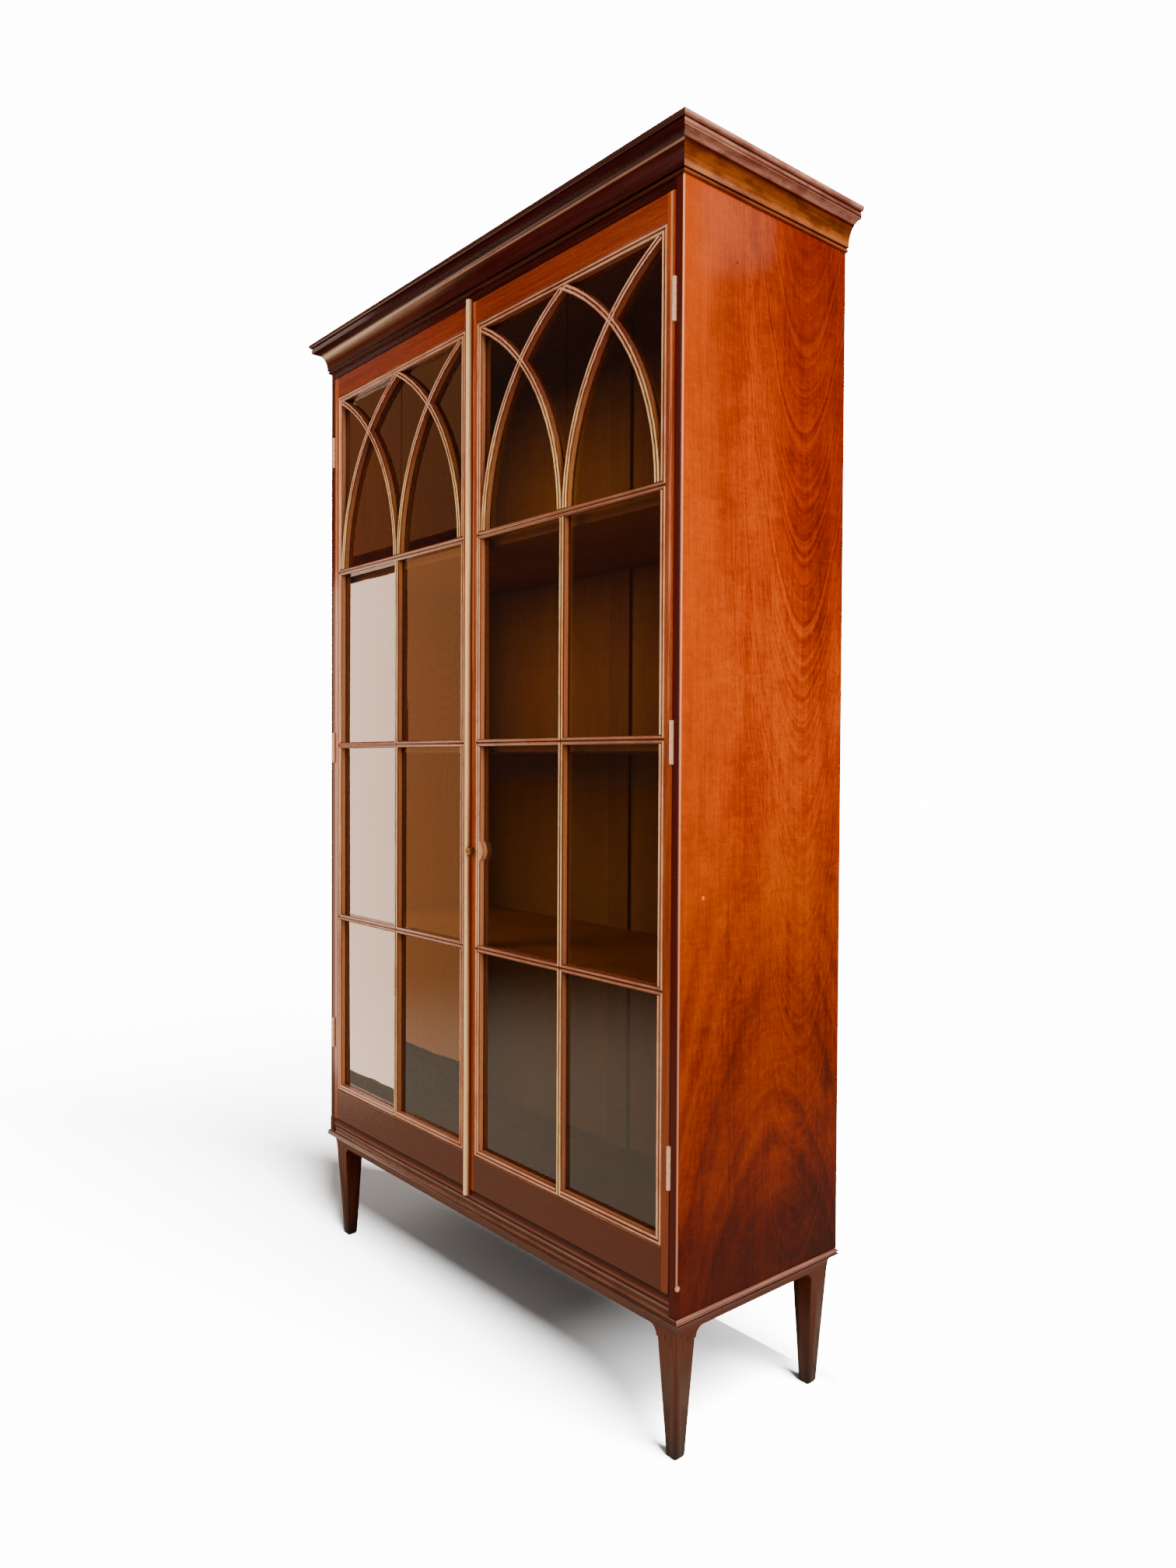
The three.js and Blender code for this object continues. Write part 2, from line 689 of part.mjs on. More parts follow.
const centreBar = (side) => {
	const topZ = springZ - mouldWidth / 2 - jointGap;
	const section = barSection().map(([across, depth]) => [side * barX + across, frontY + depth]);
	const upright = raise(section, borderBottomZ, topZ);
	const region = [[side * barX, borderBottomZ + jointGap],
		[side * barX + mouldWidth / 2, borderBottomZ + mouldWidth / 2 + jointGap],
		[side * barX + mouldWidth / 2, topZ],
		[side * barX - mouldWidth / 2, topZ],
		[side * barX - mouldWidth / 2, borderBottomZ + mouldWidth / 2 + jointGap]];
	const trimmed = meet(upright, runBack(region, frontY - overrun, doorBackY));
	return cut(trimmed, ...barRows.slice(0, -1).map((row) => crossingCut(side, row, 'upright')));
};

const crossBar = (side, row) => {
	const z = barHeight(row);
	const half = mouldWidth / 2;
	const section = barSection().map(([across, depth]) => [frontY + depth, z + across]);
	const [near, far] = [meetBorderX + jointGap, hingeBorderX - jointGap];
	const region = [[near, z], [near + half, z - half], [far - half, z - half], [far, z], [far - half, z + half],
		[near + half, z + half]].map(([x, up]) => [side * x, up]);
	const ends = [side * near, side * far].sort((a, b) => a - b);
	const bar = meet(runAcross(section, ...ends), runBack(region, frontY - overrun, doorBackY));
	return row < rowCount - 1 ? cut(bar, crossingCut(side, row, 'level')) : bar;
};

// Interlaced tracery of the top row. Each curved bar springs upright from the highest cross bar and is an
// arc of one circle: from the stiles the bars bend to the middle of the top rail, and from the centre they
// bend out to the two top corners, so that they cross half way along each light.
const archBar = (springX, crownX) => {
	const rise = sightTopZ - springZ;
	const span = Math.abs(crownX - springX);
	const toward = Math.sign(crownX - springX);
	const radius = (span * span + rise * rise) / (2 * span);
	const centreX = springX + toward * radius;
	const sweep = Math.asin(rise / radius) * archPastRailShare;
	return loft(barSection(), arcSteps, ([across, depth], step) => {
		const angle = sweep * step / arcSteps;
		const distance = radius + across;
		return [centreX - toward * distance * Math.cos(angle), frontY + depth, springZ + distance * Math.sin(angle)];
	});
};

const tracery = (side) => {
	const half = mouldWidth / 2;
	const springs = [
		[sightOuterX - half, barX],
		[barX + half, sightOuterX],
		[barX - half, sightInnerX],
		[sightInnerX + half, barX],
	];
	const arches = join(...springs.map(([from, to]) => archBar(side * from, side * to)));
	const edges = [side * (sightInnerX + jointGap), side * (sightOuterX - jointGap)].sort((a, b) => a - b);
	const lowZ = springZ + half + jointGap;
	return meet(arches, block(...edges, frontY - overrun, doorBackY, lowZ, sightTopZ - jointGap));
};

const glass = (side) => {
	const into = glassGrooveDepth - jointGap;
	const edges = [side * (sightInnerX - into), side * (sightOuterX + into)].sort((a, b) => a - b);
	return block(...edges, glassFrontY, glassFrontY + glassThickness, sightBottomZ - into, sightTopZ + into);
};

// Meeting stiles, bead and latch

const knobX = rightEdgeX + beadWidth + knobFromBead;
const latchCaseX = rightEdgeX + latchCaseFromEdge;
const latchCaseY = doorBackY - latchCaseDepth;
const latchBoltY = (latchCaseY + doorBackY - latchCaseWall - latchBoltThickness) / 2;

// The stile swells round the latch in a shallow curve, like a section of a circle
const latchBoss = () => {
	const half = latchCaseHeight / 2;
	const radius = (half * half + latchBossReach * latchBossReach) / (2 * latchBossReach);
	const halfAngle = Math.asin(half / radius);
	const centreX = sightInnerX + latchBossReach - radius;
	const outline = arcPoints(centreX, latchZ, radius, radius, -halfAngle, halfAngle, coveSteps);
	const root = sightInnerX - reedSag;
	return runBack([[root, latchZ - half], ...outline, [root, latchZ + half]], frontY + latchBossDrop,
		frontY + glassSetback);
};

const meetingStileRight = () => {
	const flat = meetBorderX - rightEdgeX;
	const plain = join(stile(1, rightEdgeX, flat, meetBorderX, sightInnerX), latchBoss());
	const half = latchCaseHeight / 2 + latchClearance;
	const pocket = block(latchCaseX - latchClearance, latchCaseX + latchCaseWidth + latchClearance,
		latchCaseY - latchClearance, doorBackY + overrun, latchZ - half, latchZ + half);
	const tongue = latchTongueHeight / 2 + latchClearance;
	const slot = block(rightEdgeX - overrun, latchCaseX, latchBoltY - latchClearance,
		latchBoltY + latchBoltThickness + latchClearance, latchZ - tongue, latchZ + tongue);
	const bore = rod(spindleRadius + latchClearance, -doorThickness, overrun)
		.rotate([90, 0, 0]).translate([knobX, frontY, latchZ]);
	return cut(plain, pocket, slot, bore);
};

const meetingStileLeft = () => {
	const flat = meetBorderX + leftEdgeX;
	const plain = stile(-1, leftEdgeX, flat, -meetBorderX, -sightInnerX);
	const tongue = latchTongueHeight / 2 + latchMortiseSpare;
	const reach = latchTravel + latchMortiseSpare;
	const strike = block(leftEdgeX - reach, leftEdgeX + overrun, latchBoltY - latchMortiseSpare,
		latchBoltY + latchBoltThickness + latchMortiseSpare, latchZ - tongue, latchZ + tongue);
	const channel = boltLength + boltTravel + boltClearance;
	return cut(plain, strike, boltRoom(doorTopZ - channel, doorTopZ + overrun),
		boltRoom(doorBottomZ - overrun, doorBottomZ + channel));
};

const meetingBead = () => {
	const half = beadWidth / 2;
	const round = arcPoints(0, frontY - beadFillet - beadStilt, beadRadius, beadRadius, 0, -Math.PI, beadSteps);
	const outline = [[half, frontY], [half, frontY - beadFillet], [beadRadius, frontY - beadFillet], ...round,
		[-beadRadius, frontY - beadFillet], [-half, frontY - beadFillet], [-half, frontY]];
	return raise(outline, doorBottomZ - beadPastBottom, doorTopZ + beadPastTop);
};

// A shallow tray, open towards the wood, with a slot for the bolt in its edge
const latchCase = () => {
	const half = latchCaseHeight / 2;
	const wall = latchCaseWall;
	const endX = latchCaseX + latchCaseWidth;
	const shell = block(latchCaseX, endX, latchCaseY, doorBackY, latchZ - half, latchZ + half);
	const hollow = block(latchCaseX + wall, endX - wall, latchCaseY - overrun, doorBackY - wall,
		latchZ - half + wall, latchZ + half - wall);
	const tongue = latchTongueHeight / 2 + latchClearance;
	const slot = block(latchCaseX - overrun, latchCaseX + wall + overrun, latchBoltY - latchClearance,
		latchBoltY + latchBoltThickness + latchClearance, latchZ - tongue, latchZ + tongue);
	return cut(shell, hollow, slot);
};

const latchBolt = () => {
	const tipX = rightEdgeX + latchClearance;
	const endX = tipX + latchBoltLength;
	const plateX = latchCaseX + latchCaseWall + latchTravel + latchClearance;
	const [tongue, plate] = [latchTongueHeight / 2, latchPlateHeight / 2];
	const [y0, y1] = [latchBoltY, latchBoltY + latchBoltThickness];
	const bar = block(tipX, endX, y0, y1, latchZ - tongue, latchZ + tongue);
	const body = block(plateX, endX, y0, y1, latchZ - plate, latchZ + plate);
	const clear = spindleRadius + latchClearance;
	const window = block(knobX - clear, knobX + clear + latchTravel, y0 - overrun, y1 + overrun, latchZ - clear,
		latchZ + clear);
	return cut(join(bar, body), window);
};

const turnKnob = () => {
	const back = latchClearance;
	const profile = [
		[0, latchBoltY + latchBoltThickness - frontY],
		[spindleRadius, latchBoltY + latchBoltThickness - frontY],
		[spindleRadius, -back],
		[knobRoseRadius, -back],
		[knobRoseRadius, -back - knobRoseThickness],
		[knobNeckRadius, -back - knobRoseThickness],
		[knobNeckRadius, -knobNeckLength],
		...arcPoints(knobNeckRadius, -knobRimOut, knobRadius - knobNeckRadius, knobRimOut - knobNeckLength - back,
			Math.PI / 2, 0, reedSteps).slice(1),
		...arcPoints(0, -knobRimOut, knobRadius, knobLength - knobRimOut, 0, -Math.PI / 2, reedSteps + 1).slice(1),
	].map(([r, y]) => new THREE.Vector2(Math.max(r, 0), y));
	profile[profile.length - 1].x = 0;
	const geometry = new THREE.LatheGeometry(profile.reverse(), knobSides);
	return toSolid(geometry);
};

// Inside bolts: flat bars of dovetail section that slide in channels in the back of the left meeting stile
const boltCentreX = leftEdgeX - boltFromEdge;

const boltOutline = (gap) => {
	const faceY = doorBackY - boltThickness - gap;
	const [deep, shallow] = [boltWidth / 2 + gap, boltBackWidth / 2 + gap];
	return [[boltCentreX - deep, faceY], [boltCentreX + deep, faceY], [boltCentreX + shallow, doorBackY],
		[boltCentreX - shallow, doorBackY]];
};

const boltRoom = (z0, z1) => {
	const past = doorBackY + jointGap;
	const outline = boltOutline(boltClearance);
	const lid = block(boltCentreX - boltBackWidth / 2 - boltClearance, boltCentreX + boltBackWidth / 2 + boltClearance,
		doorBackY - boltClearance, past, z0, z1);
	return join(raise(outline, z0, z1), lid);
};

const slideBolt = (end) => {
	const top = end === 'top';
	const tipZ = top ? doorTopZ - boltClearance : doorBottomZ + boltClearance;
	const tailZ = top ? tipZ - boltLength : tipZ + boltLength;
	const studZ = top ? tipZ - boltStudFromEnd : tipZ + boltStudFromEnd;
	const bar = raise(boltOutline(0), Math.min(tipZ, tailZ), Math.max(tipZ, tailZ));
	const stud = rod(boltStudRadius, -boltStudLength, boltThickness / 2).rotate([90, 0, 0])
		.translate([boltCentreX, doorBackY, studZ]);
	return join(bar, stud);
};

// Butt hinge for the right side, centred on its pin; the knuckles alternate between the two leaves

const knuckleLength = hingeLength / hingeKnuckles;

const hingeHalf = (direction, first) => {
	const plateX0 = direction * hingeLeafGap / 2;
	const plateX1 = plateX0 + direction * hingeLeafThickness;
	const [x0, x1] = [Math.min(plateX0, plateX1), Math.max(plateX0, plateX1)];
	const plateY = hingeKnuckleRadius + hingeClearance;
	const leafY = hingePinForward + hingeLeafWidth;
	const half = hingeLength / 2;
	const pieces = [block(x0, x1, plateY, leafY, -half, half)];
	for (let i = first; i < hingeKnuckles; i += 2) {
		const z0 = -half + i * knuckleLength + (i > 0 ? hingeClearance / 2 : 0);
		const z1 = -half + (i + 1) * knuckleLength - (i < hingeKnuckles - 1 ? hingeClearance / 2 : 0);
		pieces.push(rod(hingeKnuckleRadius, z0, z1), block(x0, x1, 0, plateY + hingeClearance, z0, z1));
	}
	return join(...pieces);
};

const frameLeaf = () => join(hingeHalf(1, 0), rod(hingePinRadius, -hingeLength / 2, hingeLength / 2, roundSides));

const doorLeaf = () => {
	const bore = rod(hingePinRadius + hingeClearance, -hingeLength, hingeLength, roundSides);
	return cut(hingeHalf(-1, 1), bore);
};

// Assembly

const bookcase = new THREE.Group();

const add = (group, name, solid, material, position = [0, 0, 0], turn = [0, 0, 0]) => {
	const mesh = toMesh(name, solid, material);
	mesh.position.set(...position);
	mesh.rotation.set(...turn);
	group.add(mesh);
};

const addCase = (group) => {
	add(group, 'side_right', sideBoard(), figuredWood());
	add(group, 'side_left', onSide(-1, sideBoard()), figuredWood());
	add(group, 'top_board', topBoard(), plainWood());
	add(group, 'bottom_board', bottomBoard(), darkWood());
	add(group, 'frieze_rail', friezeRail(), darkWood());
	add(group, 'back_panel_right', backPanel(), plainWood());
	add(group, 'back_panel_left', onSide(-1, backPanel()), plainWood());
	add(group, 'back_muntin', backMuntin(), plainWood());
	for (const row of barRows) add(group, `shelf_${row}`, shelf(), plainWood(), [0, 0, shelfTop(row)]);
};

const addCornice = (group) => {
	add(group, 'cornice_front', corniceFront(), darkWood());
	add(group, 'cornice_right', corniceSide(1), figuredWood());
	add(group, 'cornice_left', corniceSide(-1), figuredWood());
};

const addStand = (group) => {
	add(group, 'base_rail_front', baseRailFront(), darkWood());
	add(group, 'base_rail_right', baseRailSide(1), darkWood());
	add(group, 'base_rail_left', baseRailSide(-1), darkWood());
	add(group, 'base_rail_back', baseRailBack(), darkWood());
	const corners = [
		['leg_front_left', -halfWidth, frontY, 0],
		['leg_front_right', halfWidth, frontY, Math.PI / 2],
		['leg_back_right', halfWidth, backY, Math.PI],
		['leg_back_left', -halfWidth, backY, -Math.PI / 2],
	];
	for (const [name, x, y, turn] of corners) add(group, name, leg(), darkWood(), [x, y, 0], [0, 0, turn]);
};

const addDoor = (group, side, word) => {
	const meeting = side > 0 ? meetingStileRight() : meetingStileLeft();
	add(group, `hinge_stile_${word}`, hingeStile(side), figuredWood());
	add(group, `meeting_stile_${word}`, meeting, figuredWood());
	add(group, `top_rail_${word}`, rail(side, 'top'), figuredWood());
	add(group, `bottom_rail_${word}`, rail(side, 'bottom'), figuredWood());
	add(group, `centre_bar_${word}`, centreBar(side), barWood());
	for (const row of barRows) add(group, `cross_bar_${row}_${word}`, crossBar(side, row), barWood());
	add(group, `tracery_${word}`, tracery(side), barWood());
	add(group, `glass_${word}`, glass(side), clearGlass());
};

const addHinges = (frameGroup, doorGroup, side, word) => {
	const turn = side > 0 ? [0, 0, 0] : [0, Math.PI, 0];
	for (const [name, z] of Object.entries(hingeHeights)) {
		const place = [side * pinX, pinY, z];
		add(frameGroup, `hinge_frame_leaf_${name}_${word}`, frameLeaf(), brass(), place, turn);
		add(doorGroup, `hinge_door_leaf_${name}_${word}`, doorLeaf(), brass(), place, turn);
	}
};

const caseGroup = new THREE.Group();
const leftDoor = new THREE.Group();
const rightDoor = new THREE.Group();
bookcase.add(caseGroup, leftDoor, rightDoor);

addCase(caseGroup);
addCornice(caseGroup);
addStand(caseGroup);
addDoor(rightDoor, 1, 'right');
addDoor(leftDoor, -1, 'left');
addHinges(caseGroup, rightDoor, 1, 'right');
addHinges(caseGroup, leftDoor, -1, 'left');
add(rightDoor, 'meeting_bead', meetingBead(), barWood());
add(rightDoor, 'latch_case', latchCase(), brass());
add(rightDoor, 'latch_bolt', latchBolt(), brass());
add(rightDoor, 'turn_knob', turnKnob(), brass(), [knobX, frontY, latchZ]);
add(leftDoor, 'top_bolt', slideBolt('top'), brass());
add(leftDoor, 'bottom_bolt', slideBolt('bottom'), brass());

export default bookcase;
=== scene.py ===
# %% [markdown]
# # A tall bookcase with interlaced glass doors
# The piece is a shallow mahogany case on tapered legs, with a hollow cornice and two glazed doors. Its
# solids come ready made and stay where they are. Each cell below dresses some of them: it gives them
# rounded edges and smooth mouldings, or a finish made from procedural patterns, so nothing is painted from
# a picture.

# %% Load the frame
import json
import math
from random import Random

import bmesh
import bpy
from mathutils import Matrix, Vector


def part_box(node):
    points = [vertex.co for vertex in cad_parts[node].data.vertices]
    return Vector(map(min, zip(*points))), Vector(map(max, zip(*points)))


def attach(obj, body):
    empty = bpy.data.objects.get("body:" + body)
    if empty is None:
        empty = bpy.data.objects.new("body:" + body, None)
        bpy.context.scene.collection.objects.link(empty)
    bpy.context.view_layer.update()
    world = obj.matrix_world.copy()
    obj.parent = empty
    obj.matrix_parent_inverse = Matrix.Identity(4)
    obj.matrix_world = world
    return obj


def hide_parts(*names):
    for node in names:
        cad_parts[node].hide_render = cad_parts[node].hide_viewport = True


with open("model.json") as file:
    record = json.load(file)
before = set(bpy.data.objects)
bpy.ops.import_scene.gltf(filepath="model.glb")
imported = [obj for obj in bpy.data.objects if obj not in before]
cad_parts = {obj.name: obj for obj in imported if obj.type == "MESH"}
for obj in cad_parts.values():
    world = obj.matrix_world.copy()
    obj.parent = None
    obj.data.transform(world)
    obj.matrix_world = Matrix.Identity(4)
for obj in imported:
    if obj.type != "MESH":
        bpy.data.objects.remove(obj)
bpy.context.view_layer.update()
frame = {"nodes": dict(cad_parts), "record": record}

# %% [markdown]
# ## The camera
# The photograph was taken from in front of the near corner, at chest height, with a wide lens held almost
# level. A camera is placed by a point, a direction and a lens. The direction is built from three turns:
# round the upright axis, up or down, and a slight roll, because a hand-held camera is never quite level.

# %% Camera
CAMERA_PLACE = Vector((1.653, -1.291, 1.040))
CAMERA_TURN, CAMERA_PITCH, CAMERA_ROLL = (math.radians(a) for a in (49.67, -1.09, 0.309))
LENS, SENSOR_WIDTH = 25.05, 36
NEAREST, FARTHEST = 0.05, 100


def make_camera():
    camera = bpy.data.objects.new("camera", bpy.data.cameras.new("camera"))
    bpy.context.scene.collection.objects.link(camera)
    camera.data.lens, camera.data.sensor_width = LENS, SENSOR_WIDTH
    camera.data.clip_start, camera.data.clip_end = NEAREST, FARTHEST
    aim = Matrix.Rotation(CAMERA_TURN, 4, "Z") @ Matrix.Rotation(math.pi / 2 + CAMERA_PITCH, 4, "X")
    camera.matrix_world = Matrix.Translation(CAMERA_PLACE) @ aim @ Matrix.Rotation(CAMERA_ROLL, 4, "Z")
    bpy.context.scene.camera = camera
    return camera


print("camera at", tuple(make_camera().location))

# %% [markdown]
# ## Building finishes from nodes
# A finish is a small network of nodes. These helpers add one node at a time and join it to the others, so
# that the recipes further down read like a list of steps. Colours are written as seen on a screen, in six
# hex digits, and turned into the linear values that a shader works with.

# %% Node helpers
def tone(code):
    """A colour written as six hex digits, as linear red, green, blue and alpha."""
    parts = [int(code[i:i + 2], 16) / 255 for i in (0, 2, 4)]
    return [c / 12.92 if c <= 0.04045 else ((c + 0.055) / 1.055) ** 2.4 for c in parts] + [1.0]


def node(tree, kind, inputs=None, **settings):
    made = tree.nodes.new(kind)
    for name, value in settings.items():
        setattr(made, name, value)
    for key, value in (inputs or {}).items():
        if isinstance(value, bpy.types.NodeSocket):
            tree.links.new(value, made.inputs[key])
        else:
            made.inputs[key].default_value = value
    return made


def value_of(tree, kind, inputs=None, **settings):
    """The first output of a new node."""
    return node(tree, kind, inputs, **settings).outputs[0]


def calc(tree, operation, a, b=0.0):
    return value_of(tree, "ShaderNodeMath", {0: a, 1: b}, operation=operation)


def product(tree, first, *others):
    for factor in others:
        first = calc(tree, "MULTIPLY", first, factor)
    return first


def swing(tree, value, amount):
    """A noise value turned into a push of up to half the given amount either way."""
    return product(tree, calc(tree, "SUBTRACT", value, 0.5), amount)


def weighed(tree, first, second, share):
    """Two values added, the first one with a share and the second with the rest."""
    return calc(tree, "ADD", product(tree, first, share), product(tree, second, 1 - share))


def remap(tree, value, low, high, to_low=0.0, to_high=1.0):
    inputs = {0: value, 1: low, 2: high, 3: to_low, 4: to_high}
    return value_of(tree, "ShaderNodeMapRange", inputs, interpolation_type="SMOOTHSTEP")


def blend(tree, share, a, b, kind="MIX"):
    """Two colours mixed or multiplied; each is a code or comes from another node."""
    a, b = (tone(colour) if isinstance(colour, str) else colour for colour in (a, b))
    return node(tree, "ShaderNodeMix", {0: share, 6: a, 7: b}, data_type="RGBA", blend_type=kind).outputs[2]


def ramp(tree, value, stops):
    """A colour for each value: every stop is a value from 0 to 1 and the code of its colour."""
    made = node(tree, "ShaderNodeValToRGB", {0: value})
    band = made.color_ramp
    while len(band.elements) < len(stops):
        band.elements.new(0.5)
    for element, (at, code) in zip(band.elements, stops):
        element.position = at
        element.color = tone(code)
    return made.outputs[0]


def noise(tree, vector, scale, detail=4.0, roughness=0.55, distortion=0.0):
    inputs = {"Vector": vector, "Scale": scale, "Detail": detail, "Roughness": roughness,
              "Distortion": distortion}
    return value_of(tree, "ShaderNodeTexNoise", inputs)


def stretched(tree, place, scale):
    return value_of(tree, "ShaderNodeMapping", {"Vector": place, "Scale": scale})


def axes(tree, place):
    """How far across, how deep and how high a place lies."""
    return node(tree, "ShaderNodeSeparateXYZ", {0: place}).outputs


def new_finish(name):
    """An empty finish: its tree, its shader, and the place of each point on the object."""
    material = bpy.data.materials.new(name)
    material.use_nodes = True
    tree = material.node_tree
    place = node(tree, "ShaderNodeTexCoord").outputs["Object"]
    return material, tree, tree.nodes["Principled BSDF"], place


print("helpers ready")

# %% [markdown]
# ## Mahogany
# Polished mahogany shows four things at once: broad drifts of colour, streaks along the grain, tiny dark
# pores, and faint ripples across the grain that catch the light. Each is a noise pattern, stretched along
# the grain by a different amount. The grain runs along one axis of the board, so one recipe serves every
# board. Where a browner tone is given, wood low down is painted browner: a painted shade, because the
# light from above hardly reaches it.

# %% Mahogany recipe
STREAKS = (0.035, 170, 5, 0.6)
PORES = (0.07, 1300, 2, 0.5)
DRIFT = (0.2, 9, 3, 0.5)
RIPPLE = (5.0, 16, 3, 0.6, 0.6)
RIPPLE_SWING = 0.16
PORE_EDGE = (0.36, 0.46)
GRAIN_STOPS = (0.3, 0.5, 0.7)
SHINE_SPAN = (0.3, 0.7)
DIM_HEIGHTS = (0.2, 1.6)
BUMP_STRENGTH = 0.35
ALONG = {"X": 0, "Y": 1, "Z": 2}


def grain_scale(axis, share):
    """A scale that is 1 across the grain and a given share along it."""
    return [share if i == ALONG[axis] else 1.0 for i in range(3)]


def grain_parts(tree, place, axis):
    """Streaks, pores, broad drifts and cross ripples, each from 0 to 1."""
    return [noise(tree, stretched(tree, place, grain_scale(axis, share)), *pattern)
            for share, *pattern in (STREAKS, PORES, DRIFT, RIPPLE)]


def with_pores(tree, pores, share, colour, stain):
    return blend(tree, remap(tree, pores, *PORE_EDGE, share, 0.0), colour, stain, "MULTIPLY")


# Painted shade: the colour turns browner towards the floor.
def painted_shade_low_down(tree, height, share, colour, low):
    return blend(tree, remap(tree, height, *DIM_HEIGHTS, share, 0.0), colour, low)


def polish(tree, shader, colour, wave, rough=(0.2, 0.3), relief=0.0001, coat=0.3, coat_rough=0.12, gleam=0.2):
    """Joins colour, an uneven shine and a slight relief to the shader, under a coat of polish."""
    bump = value_of(tree, "ShaderNodeBump", {"Strength": BUMP_STRENGTH, "Distance": relief, "Height": wave})
    tree.links.new(colour, shader.inputs["Base Color"])
    tree.links.new(remap(tree, wave, *SHINE_SPAN, *rough), shader.inputs["Roughness"])
    tree.links.new(bump, shader.inputs["Normal"])
    shader.inputs["Specular IOR Level"].default_value = gleam
    shader.inputs["Coat Weight"].default_value = coat
    shader.inputs["Coat Roughness"].default_value = coat_rough


def mahogany(name, axis, tones, low=None, low_share=0.0, pored=0.55, rough=(0.2, 0.32), relief=0.0002,
             coat=0.35, coat_rough=0.12):
    """A plain board: three tones from dark to light, and a browner tone low down, a painted shade, if one is
    given.
    """
    material, tree, shader, place = new_finish(name)
    streaks, pores, drift, ripple = grain_parts(tree, place, axis)
    mixed = calc(tree, "ADD", weighed(tree, streaks, drift, 0.5), swing(tree, ripple, RIPPLE_SWING))
    colour = ramp(tree, mixed, list(zip(GRAIN_STOPS, tones)))
    colour = with_pores(tree, pores, pored, colour, tones[0])
    if low:
        colour = painted_shade_low_down(tree, axes(tree, place)["Z"], low_share, colour, low)
    polish(tree, shader, colour, streaks, rough, relief, coat, coat_rough)
    return material


print("mahogany recipe ready")

# %% [markdown]
# ## The figured veneer of the sides
# Each side is one wide leaf of veneer. High up it has a cathedral figure: parabolas one inside the other,
# opening upwards, because the leaf was sliced across the tapering growth rings of the log. Towards the
# front edge the same lines run almost upright. Low down they turn over into a dark, smoky flame. A growth
# line is a level line of "height minus a share of the distance from the middle, squared", and a
# one-dimensional noise along that value makes bands of uneven width, as real growth rings are.

# %% The figure of the veneer
LOOP_MIDDLE, LOOP_BEND, LOOP_COUNT = 0.105, 24.0, 58.0
FLAME_MIDDLE, FLAME_BEND, FLAME_COUNT = 0.045, 9.0, 8.0
LOOPS_ABOVE, FLAME_BELOW = (0.85, 1.3), (0.55, 0.95)
LOOP_SWING, FLAME_SWING, LEAST_LOOPS = 0.6, 0.75, 0.55
RING_DETAIL, RING_ROUGHNESS = 4.0, 0.62
SWAY, SHIVER = (0.5, 4.5, 0.055), (0.6, 28, 0.008)
MOTTLE_STRETCH, MOTTLE = (1, 1, 0.7), (17, 3, 0.55, 0.8)
FIDDLE_STRETCH, FIDDLE = (1, 0.5, 1.6), (75, 2, 0.5, 1.0)
SMALL_SWINGS = (0.36, 0.24, 0.36, 0.5, 0.02)


def growth_lines(tree, across, height, middle, bend, count):
    """Bands along nested parabolas; a negative bend makes arches in place of loops."""
    off = calc(tree, "SUBTRACT", across, middle)
    level = calc(tree, "SUBTRACT", height, product(tree, off, off, bend))
    inputs = {"W": product(tree, level, count), "Scale": 1.0, "Detail": RING_DETAIL,
              "Roughness": RING_ROUGHNESS}
    return value_of(tree, "ShaderNodeTexNoise", inputs, noise_dimensions="1D")


def veneer_figure(tree, place, grain):
    """The figure of the veneer, as one value near a half."""
    streaks, pores, drift, ripple = grain
    side, across, height = axes(tree, place)
    for upward, scale, reach in (SWAY, SHIVER):
        wander = noise(tree, stretched(tree, place, (1, 1, upward)), scale, 2)
        across = calc(tree, "ADD", across, swing(tree, wander, reach))
    loops = growth_lines(tree, across, height, LOOP_MIDDLE, LOOP_BEND, LOOP_COUNT)
    flame = growth_lines(tree, across, height, FLAME_MIDDLE, -FLAME_BEND, FLAME_COUNT)
    high = product(tree, remap(tree, height, *LOOPS_ABOVE), 1 - LEAST_LOOPS)
    low = calc(tree, "SUBTRACT", 1.0, remap(tree, height, *FLAME_BELOW))
    shown = calc(tree, "ADD", LEAST_LOOPS, high)
    mixed = calc(tree, "ADD", 0.5, product(tree, swing(tree, loops, LOOP_SWING), shown))
    mixed = calc(tree, "ADD", mixed, product(tree, swing(tree, flame, FLAME_SWING), low))
    mottle = noise(tree, stretched(tree, place, MOTTLE_STRETCH), *MOTTLE)
    fiddle = noise(tree, stretched(tree, place, FIDDLE_STRETCH), *FIDDLE)
    for value, amount in zip((mottle, fiddle, streaks, drift, ripple), SMALL_SWINGS):
        mixed = calc(tree, "ADD", mixed, swing(tree, value, amount))
    return mixed


print("loops above", LOOPS_ABOVE, "and a flame below", FLAME_BELOW)
